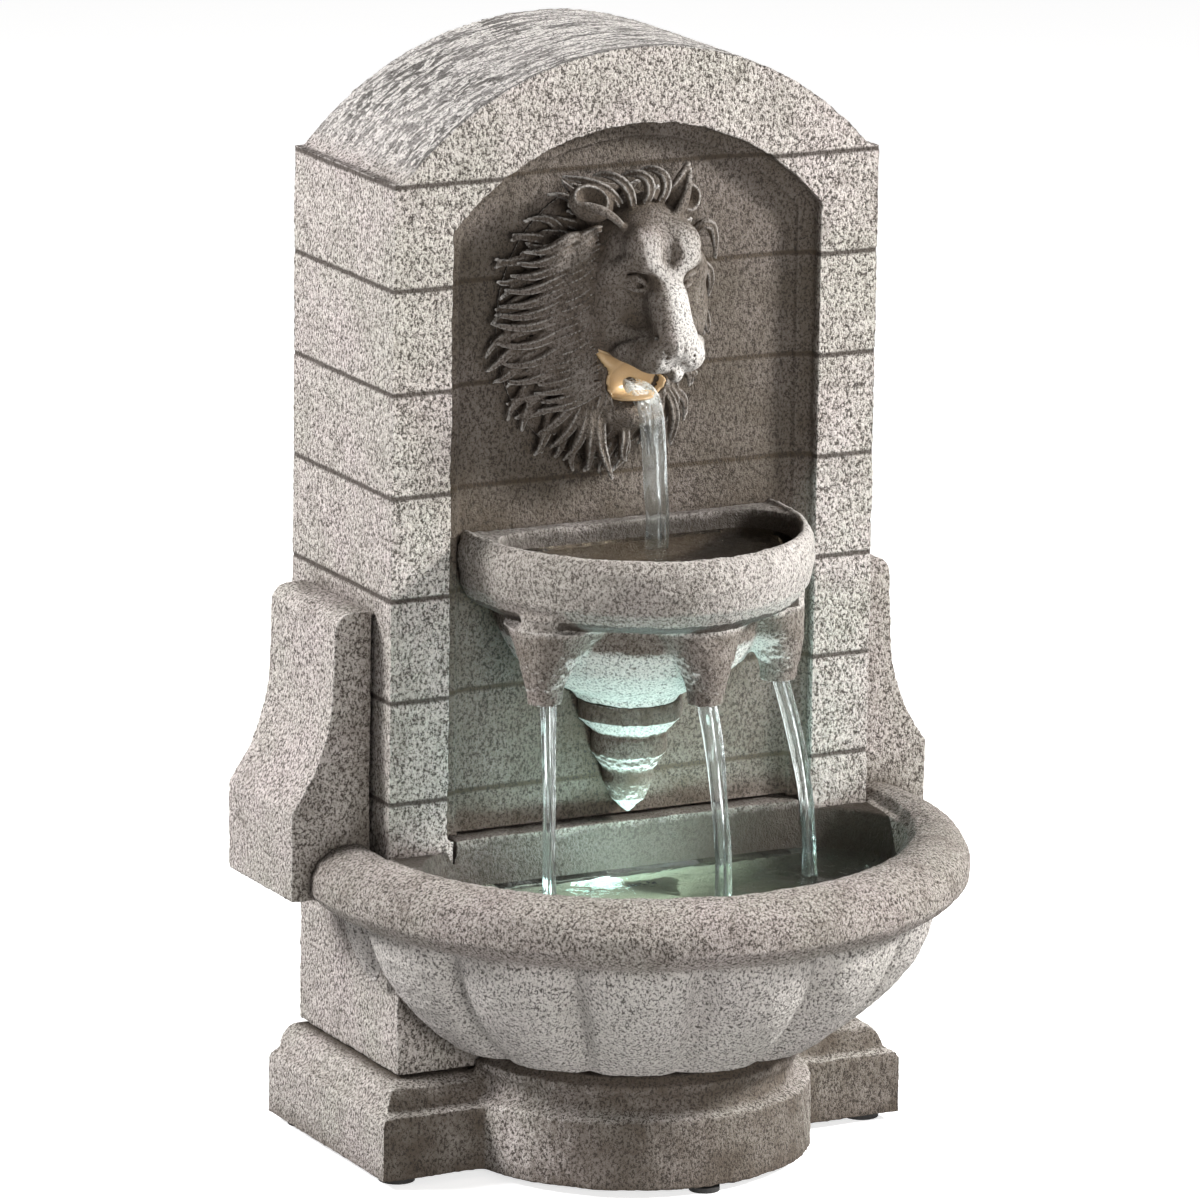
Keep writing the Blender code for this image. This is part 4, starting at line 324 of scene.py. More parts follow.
def stone(name, column=False, wash_and_shade=0.55, below=0.3, speckle=0.9, dark=0.0, where=None, pale=0.0, tips=0.0,
          wet=None, wet_top=0.0, lit=False):
    """Weathered cast stone: pale grains, dark pits, and every recess washed brown and darkened by painted
    shade.

    wash and below paint shade into recesses and onto undersides, partly washed brown. dark darkens where a
    mask says and pale lightens the rest, mostly as painted shade and painted highlight. tips paints
    highlights on the ridges of hair. wet is the mask of what is soaked up to wet_top.
    """
    s = Shader(name)
    x, y, z = s.axes()
    coarse = s.noise(500.0, 3.0, 0.68, 0.2, place=s.stretch((1.1, 1.1, 0.8)))
    fine = s.noise(1100.0, 2.0, 0.6)
    broad = s.noise(14.0, 3.0, 0.6)
    patch = s.noise(42.0, 3.0, 0.6, 0.4)
    grain = s.share(coarse, 0.66, fine)
    colour = s.mix(s.ramp(grain, 0.45, 0.585), MIDDLE, PALE)
    tint = s.mix(s.ramp(broad, 0.35, 0.65), (1.03, 0.99, 1.0), (0.96, 0.97, 0.93))
    colour = s.mix(1.0, colour, tint, "MULTIPLY")
    colour = s.mix(s.ramp(patch, 0.52, 0.8, 0.0, 0.4), colour, WASH_AND_SHADE)
    shape = s.node("ShaderNodeNewGeometry")
    facing = s.axes(shape.outputs["Normal"])
    pointed = shape.outputs["Pointiness"]
    colour = s.mix(s.ramp(pointed, 0.515, 0.57, 0.0, 0.65), colour, WEAR_AND_HIGHLIGHT)
    # Painted shade, partly washed brown: darker in recesses by ambient occlusion, and on undersides
    shade = s.node("ShaderNodeAmbientOcclusion", {"samples": 6}, Distance=0.024)
    painted_shade_and_wash = s.times(s.ramp(shade.outputs["AO"], 0.95, 0.45), s.ramp(broad, 0.2, 0.7, 0.8, 1.25), wash_and_shade)
    painted_shade_and_wash = s.math("MAXIMUM", painted_shade_and_wash, s.ramp(facing[2], -0.15, -0.85, 0.0, below))
    colour = s.mix(s.math("MINIMUM", painted_shade_and_wash, 0.94), colour, WASH_AND_SHADE)
    if column:
        colour = column_marks(s, colour, x, y, z, facing, broad)
    # Darker where a mask is high and paler where it is low: mostly painted shade and painted highlight
    if where:
        spread = where(s, y, z, facing)
        if pale:
            colour = s.mix(s.ramp(spread, 0.0, 0.6, pale, 0.0), colour, WEAR_AND_HIGHLIGHT)
        colour = s.mix(s.times(s.ramp(patch, 0.25, 0.7, 0.66, 1.0), dark, spread), colour, WASH_AND_SHADE)
    # Painted highlight along the ridges of the mane's hair
    if tips:
        ridges = s.times(s.ramp(pointed, 0.525, 0.575, 0.0, tips), s.ramp(patch, 0.4, 0.6, 0.3, 1.0),
                         s.ramp(y, NICHE_Y - 0.058, NICHE_Y - 0.05))
        colour = s.mix(ridges, colour, WEAR_AND_HIGHLIGHT)
    colour = s.mix(s.times(s.ramp(grain, 0.482, 0.434), speckle), colour, PIT)
    roughness = s.ramp(grain, 0.3, 0.7, 0.8, 0.95)
    s.set(s.bsdf, Specular_IOR_Level=0.25)
    if wet:
        above = s.minus(z, s.ramp(patch, 0.2, 0.8, wet_top - 0.004, wet_top + 0.004))
        damp = s.times(wet(s, x, y, z), s.ramp(above, 0.006, -0.006), s.ramp(x, -0.1, 0.09, 0.8, 0.97))
        colour = soak(s, colour, damp, x, y, z, lit)
        roughness = s.minus(roughness, s.times(damp, 0.4))
        s.set(s.bsdf, Specular_IOR_Level=s.ramp(damp, 0.0, 1.0, 0.25, 0.35))
    return s.finish(colour, roughness, s.bump(s.share(coarse, 0.7, fine), 0.85, 0.0034))


def moulded(name, colour, roughness, spread=0.12, bump=0.05, scale=900.0):
    """Moulded plastic or rubber with a fine grain and faint mould marks."""
    s = Shader(name)
    grain = s.noise(scale, 2.0, 0.5)
    broad = s.noise(35.0, 2.0, 0.5)
    low = tuple(c * (1.0 - spread) for c in colour)
    high = tuple(min(1.0, c * (1.0 + spread) + 0.004) for c in colour)
    mixed = s.mix(s.share(grain, 0.5, broad), low, high)
    rough = s.ramp(broad, 0.3, 0.7, max(0.05, roughness - 0.06), min(1.0, roughness + 0.06))
    return s.finish(mixed, rough, s.bump(grain, bump, 0.0006))


def metal(name, colour, roughness):
    """Satin steel with fine drawn lines."""
    s = Shader(name)
    lines = s.noise(1.0, 2.0, 0.6, place=s.stretch((2600.0, 2600.0, 90.0)))
    low = tuple(c * 0.82 for c in colour)
    s.set(s.bsdf, Metallic=1.0)
    return s.finish(s.mix(lines, low, colour), s.ramp(lines, 0.3, 0.7, roughness - 0.07, roughness + 0.1),
                    s.bump(lines, 0.06, 0.0004))


def dress(node, material):
    """Give a carried-over piece its material."""
    for slot in NODES[node].material_slots:
        slot.material = material


def cloud(name, scale, depth):
    """A cloud texture for a Displace modifier."""
    made = bpy.data.textures.new(name, "CLOUDS")
    made.noise_scale = scale
    made.noise_depth = depth
    return made


# Each wear of the stone's skin: name, texture, strength and the texture's level that leaves it in place
WEAR = (("swell", cloud("stone_swell", 0.04, 2), 0.0016, 0.94),
        ("dents", cloud("stone_dents", 0.011, 2), 0.001, 0.84),
        ("pits", cloud("stone_pits", 0.0042, 1), 0.0011, 0.74))


def weather(obj, voxel, smooth):
    """Round the edges of a stone piece and roughen its skin."""
    skin = obj.modifiers.new("worn_skin", "REMESH")
    skin.mode = "VOXEL"
    skin.voxel_size = voxel * 1.0
    skin.use_smooth_shade = True
    worn = obj.modifiers.new("worn_edges", "SMOOTH")
    worn.factor = 0.5
    worn.iterations = smooth
    for name, texture, strength, level in WEAR:
        push = obj.modifiers.new(name, "DISPLACE")
        push.texture = texture
        push.texture_coords = "LOCAL"
        push.strength = strength
        push.mid_level = level


def join_hidden(node, name, operation, bm):
    """Join a hidden shape to a node, or cut it out, by a Boolean modifier."""
    shape = add_object(name, mesh_of(bm, name, smooth=False))
    shape.hide_render = True
    made = NODES[node].modifiers.new(name, "BOOLEAN")
    made.operation = operation
    made.solver = "EXACT"
    made.object = shape


def cut_niche_joints():
    """Mortar joints in the niche wall: level courses and a few upright ones."""
    bm = bmesh.new()

    def joint(x0, x1, z0, z1):
        shape = Matrix.Diagonal((x1 - x0, 0.006, z1 - z0, 1.0))
        place = Matrix.Translation(((x0 + x1) / 2, NICHE_Y, (z0 + z1) / 2))
        bmesh.ops.create_cube(bm, size=1.0, matrix=place @ shape)

    half = 0.0013
    for z in (FIRST_COURSE - k * COURSE for k in range(1, 7)):
        joint(-NICHE_HALF, NICHE_HALF, z - half, z + half)
    for x, course in ((0.088, 1), (0.084, 3), (-0.0896, 3), (-0.0667, 5), (0.084, 5)):
        top = FIRST_COURSE - course * COURSE - half - 0.0002
        joint(x - half, x + half, top - COURSE + 2 * half + 0.0004, top)
    join_hidden("wall_column", "niche_joint_cutter", "DIFFERENCE", bm)


def turns(sides):
    """Even angles round a circle."""
    return [math.tau * k / sides for k in range(sides)]


def circle(centre, radius, sides):
    """Points of a level circle."""
    return [centre + radius * Vector((math.cos(a), math.sin(a), 0.0)) for a in turns(sides)]


def flare_spouts():
    """Widen the bowl's spouts towards the belly by sleeves round their bores."""
    bm = bmesh.new()
    sides = 40
    for turn, reach in SPOUTS:
        out = Vector((math.cos(math.radians(turn)), math.sin(math.radians(turn)), 0.0))
        outer, inner = [], []
        for radius, z in SPOUT_FLARE:
            middle = Vector((BOWL_X, FACE_Y, z)) + out * reach
            outer.append(circle(middle - out * max(0.0, radius - SPOUT_FLARE_LIMIT), radius, sides))
            inner.append(circle(middle, SPOUT_SLEEVE, sides))
        loft(bm, outer + inner[::-1], closed=True)
    join_hidden("upper_bowl", "spout_sleeves", "UNION", bm)


# Each stone piece: node, its stone's name, cell of its skin, rounds of smoothing, kind of stone
STONES = (
    ("wall_column", "column", 0.0016, 2, dict(column=True)),
    ("pedestal", "pedestal", 0.0018, 3, {}),
    ("plinth", "plinth", 0.0018, 3, dict(wash_and_shade=0.9, dark=0.92, where=low_front)),
    ("left_buttress", "left_buttress", 0.0016, 3, dict(wash_and_shade=0.7, dark=0.26, where=low_front)),
    ("right_buttress", "right_buttress", 0.0016, 3, dict(wash_and_shade=0.7, dark=0.26, where=low_front)),
    ("lower_basin", "basin", 0.0016, 6,
     dict(below=0.04, dark=0.44, where=rolled_rim, pale=0.48, wet=inside_basin, wet_top=BASIN_WET_Z,
          lit=True)),
    ("upper_bowl", "bowl", 0.0012, 10,
     dict(wash_and_shade=0.35, below=0.0, speckle=0.75, dark=0.8, where=belly_top, pale=0.72, wet=inside_bowl,
          wet_top=BOWL_WET_Z)),
    ("bowl_pendant", "pendant", 0.001, 4,
     dict(wash_and_shade=0.5, below=0.0, speckle=0.55, dark=1.0, where=tier_sides, pale=0.75)),
)


def dress_stone():
    """Stone materials and worn skins of the carried-over stone pieces."""
    cut_niche_joints()
    flare_spouts()
    for node, name, cell, smooth, kind in STONES:
        dress(node, stone(name + "_cast_stone", **kind))
        weather(NODES[node], cell, smooth)


def link_piece(name, mesh, material):
    """Add a new visible piece on the fountain's body."""
    obj = add_object(name, mesh)
    obj.data.materials.append(material)
    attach(obj, "fountain")
    return obj


def mesh_of(bm, name, smooth=True):
    """Turn a bmesh into a mesh."""
    bmesh.ops.recalc_face_normals(bm, faces=bm.faces)
    for face in bm.faces:
        face.smooth = smooth
    mesh = bpy.data.meshes.new(name)
    bm.to_mesh(mesh)
    bm.free()
    return mesh


def loft(bm, rings, closed=False):
    """Skin rings with equal numbers of points; the ends are joined if closed, else capped."""
    rows = [[bm.verts.new(p) for p in ring] for ring in rings]
    pairs = list(zip(rows, rows[1:]))
    if closed:
        pairs.append((rows[-1], rows[0]))
    count = len(rows[0])
    for low, high in pairs:
        for k in range(count):
            after = (k + 1) % count
            bm.faces.new((low[k], low[after], high[after], high[k]))
    if not closed:
        bm.faces.new(list(reversed(rows[0])))
        bm.faces.new(rows[-1])


def finish_water(s, tint, roughness, ior, normal, froth=None):
    """Glass-clear water, with froth if given, that lets light pass instead of shading it."""
    glass = s.set(s.bsdf, Base_Color=tint, Roughness=roughness, IOR=ior, Transmission_Weight=1.0,
                  Normal=normal)
    surface = glass.outputs[0]
    if froth is not None:
        white = s.node("ShaderNodeBsdfDiffuse", Color=(0.86, 0.9, 0.9))
        surface = s.blend(froth, surface, white.outputs[0])
        tint = (1.0, 1.0, 1.0)
    path = s.node("ShaderNodeLightPath")
    clear = s.node("ShaderNodeBsdfTransparent", Color=tint)
    s.link(s.blend(path.outputs["Is Shadow Ray"], surface, clear.outputs[0]), s.output.inputs["Surface"])
    return s.material


def pool_material(name, tint, ripple, scale, ior):
    """Clear water with a rippled surface."""
    s = Shader(name)
    return finish_water(s, tint, 0.02, ior, s.bump(s.noise(scale, 2.0, 0.5, 0.6), ripple, 0.004))


def stream_material():
    """Falling water with pale streaks of froth, and most froth at the lion's mouth."""
    s = Shader("falling_water")
    streaks = s.noise(1.0, 3.0, 0.55, 0.3, place=s.stretch((420.0, 420.0, 34.0)))
    mouth = s.times(s.ramp(s.axes()[2], 0.53, 0.55, 0.0, 0.6), s.ramp(streaks, 0.35, 0.6))
    froth = s.math("MAXIMUM", s.ramp(streaks, 0.58, 0.76, 0.01, 0.42), mouth)
    return finish_water(s, (0.9, 0.97, 0.97), 0.03, 1.3, s.bump(streaks, 0.35, 0.002), froth)


def half_round(radius, rear, corner, z, ratio=1.0, shift=0.0, count=60):
    """A level half-round outline with rounded rear corners, counted from the column's face."""
    depth = corner - rear
    centre_x = math.sqrt((radius - corner) ** 2 - depth ** 2)
    tangent = math.atan2(-depth, centre_x)
    points = []

    def sweep(cx, cy, r, start, end, steps, skip):
        for k in range(steps + 1)[skip]:
            a = start + (end - start) * k / steps
            x, y = cx + r * math.cos(a), cy + r * math.sin(a)
            points.append(Vector((shift + ratio * x, FACE_Y + y, z)))

    sweep(0.0, 0.0, radius, -math.pi - tangent, tangent, count, slice(None))
    sweep(centre_x, -depth, corner, tangent, math.pi / 2, 10, slice(1, None))
    sweep(-centre_x, -depth, corner, math.pi / 2, math.pi - tangent, 10, slice(None, -1))
    return points


def pool(name, levels, material, waves, hits):
    """A body of water: a rippled surface over smooth sides and floor."""
    bm = bmesh.new()
    surface = levels[0]
    centre = sum(surface, Vector()) / len(surface)
    steps = 70
    rings = []
    for k in range(steps):
        share = 1.0 - k / steps
        ring = []
        for point in surface:
            spot = centre.lerp(point, share)
            lift = 0.0
            for hx, hy, size, reach in hits:
                distance = math.hypot(spot.x - hx, spot.y - FACE_Y - hy)
                lift += size * math.cos(distance / waves * math.tau) * math.exp(-distance / reach)
            fade = min(1.0, (1.0 - share) * 8.0)
            ring.append(spot + Vector((0.0, 0.0, lift * fade)))
        rings.append(ring)
    loft(bm, rings[::-1] + levels[1:])
    link_piece(name, mesh_of(bm, name), material)


def make_pools():
    """Water in the basin and in the upper bowl."""
    clear = pool_material("basin_water", (0.88, 0.97, 0.94), 0.35, 60.0, 1.333)
    levels = [half_round(*sizes) for sizes in (
        (0.1872, 0.0, 0.055, BASIN_WATER_Z), (0.1745, -0.003, 0.052, 0.184), (0.1618, -0.006, 0.05, 0.16),
        (0.1355, -0.012, 0.045, 0.132), (0.106, -0.02, 0.04, 0.1186))]
    hits = [(-0.101, -0.061, 0.001, 0.018), (0.001, -0.11, 0.0012, 0.02), (0.084, -0.066, 0.001, 0.018)]
    pool("basin_water", levels, clear, 0.013, hits)
    dark = pool_material("bowl_water", (0.8, 0.76, 0.69), 0.3, 80.0, 1.17)
    ratio = 0.13 / 0.1425
    levels = [half_round(*sizes, ratio, BOWL_X) for sizes in (
        (0.125, 0.001, 0.034, BOWL_WATER_Z), (0.116, -0.004, 0.034, 0.426), (0.097, -0.006, 0.033, 0.4136))]
    pool("bowl_water", levels, dark, 0.01, [(0.002, -0.028, 0.0012, 0.016)])


def curve(path, share):
    """A point on a smooth curve through a path's points, and the curve's run there."""
    spot = share * (len(path) - 1)
    k = min(int(spot), len(path) - 2)
    f = spot - k
    before, after = path[max(0, k - 1)], path[min(len(path) - 1, k + 2)]
    a, b = path[k], path[k + 1]
    first = b - before
    second = 2 * before - 5 * a + 4 * b - after
    third = 3 * a - before - 3 * b + after
    point = (2 * a + first * f + second * f * f + third * f ** 3) / 2
    return point, first + 2 * second * f + 3 * third * f * f


def stream(name, points, widths, depths, material, seed, sides=28, steps=90):
    """A fall of water along a path: two round edges with a thinner sheet between them."""
    rng = np.random.RandomState(seed)
    lobes = [(rng.uniform(0.02, 0.05), k, rng.uniform(0, math.tau), rng.uniform(4, 12)) for k in (1, 2, 3)]
    path = [Vector((x, FACE_Y + y, z)) for x, y, z in points]
    rings = []
    for i in range(steps + 1):
        t = i / steps
        centre, run = curve(path, t)
        across = Vector((0.0, -run.z, run.y)).normalized()
        width = np.interp(t, np.linspace(0, 1, len(widths)), widths)
        depth = np.interp(t, np.linspace(0, 1, len(depths)), depths)
        ring = []
        for angle in turns(sides):
            swell = 1.0 + sum(size * math.sin(count * angle + phase + pace * t)
                              for size, count, phase, pace in lobes)
            thick = depth * swell * math.sin(angle) * (0.38 + 1.25 * math.cos(angle) ** 2)
            ring.append(centre + Vector((width * swell * math.cos(angle), 0.0, 0.0)) + across * thick)
        rings.append(ring)
    bm = bmesh.new()
    loft(bm, rings)
    link_piece(name, mesh_of(bm, name), material)


# Each fall from the bowl: name, place of its top, drift to the right, half width and random seed
FALLS = (
    ("left_fall", -0.0978, -0.06, 0.001, 0.0048, 11),
    ("front_fall", 0.001, -0.1085, 0.014, 0.0068, 12),
    ("right_fall", 0.0815, -0.0645, 0.026, 0.0058, 13),
)


def make_streams():
    """The fall from the lion's mouth and the three falls from the bowl's spouts."""
    falling = stream_material()
    path = [(0.0, 0.002, 0.5565), (0.001, -0.006, 0.556), (0.002, -0.015, 0.5535),
            (0.004, -0.023, 0.545), (0.006, -0.027, 0.525), (0.008, -0.0285, 0.49),
            (0.01, -0.029, 0.465), (0.01, -0.029, BOWL_WATER_Z - FALL_DIP)]
    stream("mouth_fall", [(LION_X + x, y, z) for x, y, z in path],
           [0.0042, 0.0075, 0.0098, 0.01, 0.0092, 0.0084, 0.008, 0.0084],
           [0.0056, 0.0044, 0.0046, 0.0052, 0.0056, 0.0056, 0.0054, 0.0056], falling, 3)
    height = BASIN_WATER_Z - FALL_DIP - FALL_TOP_Z
    for name, x, y, drift, width, seed in FALLS:
        points = [(x + drift * (1 - (1 - t) ** 2), y - 0.004 * t, FALL_TOP_Z + height * t)
                  for t in (0.0, 0.25, 0.5, 0.75, 1.0)]
        stream(name, points, [width * share for share in (1.0, 0.92, 0.84, 0.78, 0.9)],
               [0.0062, 0.0056, 0.0052, 0.005, 0.0056], falling, seed)


def dot(a, b):
    """The dot product of two triples."""
    return a[0] * b[0] + a[1] * b[1] + a[2] * b[2]


class Clay:
    """A block of clay on a grid of cells, shaped by joining and carving smooth forms.

    Places are (x, depth, z): x from the mask's own middle, depth out from the niche wall.
    """

    def __init__(self, low, high, cell):
        self.low = np.array(low, dtype=float)
        self.cell = cell
        self.count = np.ceil((np.array(high) - self.low) / cell).astype(int) + 1
        self.field = np.ones(self.count, dtype=np.float32)

    def blank(self):
        """An empty block on the same cells."""
        made = copy.copy(self)
        made.field = np.ones(self.count, dtype=np.float32)
        return made

    def window(self, low, high):
        """The cells between two corners, and their coordinates."""
        start = np.clip(np.floor((np.array(low) - self.low) / self.cell).astype(int), 0, self.count - 1)
        stop = np.clip(np.ceil((np.array(high) - self.low) / self.cell).astype(int) + 1, 1, self.count)
        cut = tuple(slice(a, b) for a, b in zip(start, stop))
        axes = [self.low[k] + self.cell * np.arange(start[k], stop[k]) for k in range(3)]
        return cut, np.meshgrid(*axes, indexing="ij", sparse=True)

    def join(self, cut, form, soft):
        """Blend a form onto the clay."""
        part = self.field[cut]
        share = np.clip(0.5 + 0.5 * (part - form) / soft, 0.0, 1.0)
        self.field[cut] = part * (1 - share) + form * share - soft * share * (1 - share)

    def carve(self, cut, form, soft):
        """Take a form out of the clay, with a soft edge."""
        part = self.field[cut]
        share = np.clip(0.5 - 0.5 * (part + form) / soft, 0.0, 1.0)
        self.field[cut] = part * (1 - share) - form * share + soft * share * (1 - share)

    def ball(self, centre, radii, turn=(0, 0), soft=0.008, cut=False):
        """Join or carve an ellipsoid, turned in degrees about x and about the depth."""
        reach = max(radii) + soft * 2
        cells, (x, y, z) = self.window(np.array(centre) - reach, np.array(centre) + reach)
        spin = np.array((Matrix.Rotation(math.radians(turn[1]), 3, "Y")
                         @ Matrix.Rotation(math.radians(turn[0]), 3, "X")).transposed())
        x, y, z = x - centre[0], y - centre[1], z - centre[2]
        near = far = 0.0
        for row, radius in zip(spin, radii):
            along = dot((x, y, z), row) / radius
            near = near + along ** 2
            far = far + (along / radius) ** 2
        near = np.sqrt(near)
        form = near * (near - 1.0) / np.sqrt(far + 1e-9)
        (self.carve if cut else self.join)(cells, form, soft)

    def lock(self, points, radii, flat=0.6, strands=2.0, groove=0.0009, soft=0.003, cut=False, steps=12):
        """Join a lock of hair: a tapering ribbon along a bent line, with strands along it."""
        path = np.array(points, dtype=float)
        t = np.linspace(0.0, 1.0, steps + 1)[:, None]
        if len(path) == 3:
            line = (1 - t) ** 2 * path[0] + 2 * t * (1 - t) * path[1] + t ** 2 * path[2]
        else:
            line = ((1 - t) ** 3 * path[0] + 3 * t * (1 - t) ** 2 * path[1]
                    + 3 * t ** 2 * (1 - t) * path[2] + t ** 3 * path[3])
        reach = max(radii) * 1.3 + soft * 2
        cells, (x, y, z) = self.window(line.min(0) - reach, line.max(0) + reach)
        best = None
        size = np.interp(t[:, 0], np.linspace(0, 1, len(radii)), radii)
        for k in range(steps):
            a, b = line[k], line[k + 1]
            run = b - a
            length = np.linalg.norm(run)
            along = run / length
            out = np.array((0.0, 1.0, 0.0)) - along * along[1]
            out /= np.linalg.norm(out) + 1e-9
            side = np.cross(along, out)
            gap = x - a[0], y - a[1], z - a[2]
            share = np.clip(dot(gap, along) / length, 0.0, 1.0)
            radius = size[k] + (size[k + 1] - size[k]) * share
            gap = [part - step * share for part, step in zip(gap, run)]
            across, height, rest = dot(gap, side), dot(gap, out), dot(gap, along)
            span = np.sqrt((across / radius) ** 2 + (height / (radius * flat)) ** 2 + (rest / radius) ** 2)
            form = (span - 1.0) * radius * (0.5 + 0.5 * flat)
            if groove:
                deep = groove * np.minimum(1.0, radius / 0.004)
                form = form + deep * np.cos(across / radius * math.pi * strands)
            best = form if best is None else np.minimum(best, form)
        (self.carve if cut else self.join)(cells, best.astype(np.float32), soft)

    def cord(self, points, radii, flat=1.0, soft=0.002, cut=False):
        """Join or carve a smooth cord: a lock without strands."""
        self.lock(points, radii, flat=flat, groove=0.0, soft=soft, cut=cut)

    def mesh(self, name, to_world):
        """Skin the clay with quads through the cells that its surface crosses."""
        f = self.field
        inside = f < 0
        size = [c - 1 for c in f.shape]
        corner = np.zeros(size + [3])
        hits = np.zeros(size)

        def at(values, di, dj, dk):
            return values[di:di + size[0], dj:dj + size[1], dk:dk + size[2]]

        for axis, da, db in itertools.product(range(3), (0, 1), (0, 1)):
            a, b = [k for k in range(3) if k != axis]
            first = [0, 0, 0]
            first[a], first[b] = da, db
            second = list(first)
            second[axis] = 1
            va, vb = at(f, *first), at(f, *second)
            cross = at(inside, *first) != at(inside, *second)
            t = np.where(cross, va / np.where(cross, va - vb, 1.0), 0.0)
            hits += cross
            for k in range(3):
                corner[..., k] += np.where(cross, (t if k == axis else first[k]), 0.0)
        used = hits > 0
        index = np.full(used.shape, -1, dtype=np.int64)
        index[used] = np.arange(used.sum())
        where = np.argwhere(used)
        spots = self.low + self.cell * (where + corner[used] / hits[used][:, None])
        faces = []
        for axis in range(3):
            a, b = [k for k in range(3) if k != axis]
            low = [slice(None)] * 3
            high = [slice(None)] * 3
            low[axis], high[axis] = slice(0, -1), slice(1, None)
            change = inside[tuple(low)] != inside[tuple(high)]
            spotted = np.argwhere(change)
            i, j = spotted[:, a], spotted[:, b]
            good = (i > 0) & (j > 0) & (i < size[a]) & (j < size[b])
            spotted = spotted[good]
            quads = []
            for da, db in ((-1, -1), (0, -1), (0, 0), (-1, 0)):
                cell = spotted.copy()
                cell[:, a] += da
                cell[:, b] += db
                quads.append(index[tuple(cell.T)])
            quads = np.stack(quads, axis=1)
            leaving = inside[tuple(low)][change][good]
            if axis == 1:
                leaving = ~leaving
            quads[~leaving] = quads[~leaving][:, ::-1]
            faces.append(quads)
        faces = np.concatenate(faces)
        rough = bpy.data.meshes.new("clay_skin")
        rough.from_pydata(to_world(spots).tolist(), [], faces.tolist())
        rough.validate()
        bm = bmesh.new()
        bm.from_mesh(rough)
        bpy.data.meshes.remove(rough)
        return mesh_of(bm, name)


# The face's middle line, the mane's middle, and its layers of hair from the wall outwards, as
# (locks, inner share, outer share, depth, drop of the tips, size, first angle)
FACE_X = 0.004
MANE_MIDDLE = (-0.012, 0.6)
MANE_LAYERS = ((60, 0.62, 1.0, 0.012, 0.006, 0.0054, 0.05),
               (50, 0.52, 0.88, 0.021, 0.009, 0.0056, 0.15),
               (42, 0.44, 0.74, 0.029, 0.01, 0.0056, 0.02))


def mane_reach(angle):
    """How far the mane reaches from its middle, by the angle from +x."""
    c, s = math.cos(angle), math.sin(angle)
    return math.hypot((0.076 if c > 0 else 0.092) * c, (0.108 if s > 0 else 0.106) * s)


def mane_point(angle, share, depth):
    """A point of the mane by angle, share of its reach and depth."""
    reach = mane_reach(angle) * share
    return (MANE_MIDDLE[0] + reach * math.cos(angle), depth, MANE_MIDDLE[1] + reach * math.sin(angle))


def sculpt_mane(clay, rng):
    """Layers of wavy locks that sweep away from the face."""
    clay.ball((-0.017, -0.002, 0.6), (0.08, 0.018, 0.098), soft=0.004)
    clay.ball((-0.01, 0.006, 0.604), (0.062, 0.03, 0.078), soft=0.006)
    for count, inner, outer, depth, drop, size, start in MANE_LAYERS:
        for k in range(count):
            angle = start + math.tau * k / count + rng.uniform(-0.05, 0.05)
            below = math.sin(angle) < -0.2
            turn = (-0.22 if math.cos(angle) > 0 else 0.22) * (0.5 if below else 1.0)
            reach = outer * (1.0 + rng.uniform(-0.1, 0.05))
            wave = rng.uniform(0.08, 0.16) * (-1) ** k
            length = reach - inner
            points = [mane_point(angle, inner, depth),
                      mane_point(angle - wave, inner + 0.3 * length, depth + 0.004),
                      mane_point(angle + wave + turn * 0.4, inner + 0.7 * length, depth + 0.001),
                      mane_point(angle + turn, reach, depth - drop)]
            clay.lock(points, (size * 0.8, size, size * 0.72, size * 0.26), flat=0.62, groove=0.00085,
                      soft=0.0016)


# Each ear: its form and its hollow as (centre, radii), its tilt, and its front fold with its radii
EARS = (
    (((-0.04, 0.034, 0.69), (0.017, 0.012, 0.013)), ((-0.044, 0.046, 0.696), (0.013, 0.012, 0.009)), 24,
     ((-0.056, 0.034, 0.69), (-0.04, 0.056, 0.694), (-0.018, 0.046, 0.671)), (0.0022, 0.0034, 0.0022)),
    (((0.032, 0.034, 0.688), (0.013, 0.012, 0.012)), ((0.036, 0.046, 0.69), (0.009, 0.012, 0.008)), -30,
     ((0.01, 0.05, 0.673), (0.026, 0.054, 0.684), (0.036, 0.036, 0.708)), (0.0026, 0.0038, 0.0016)),
)

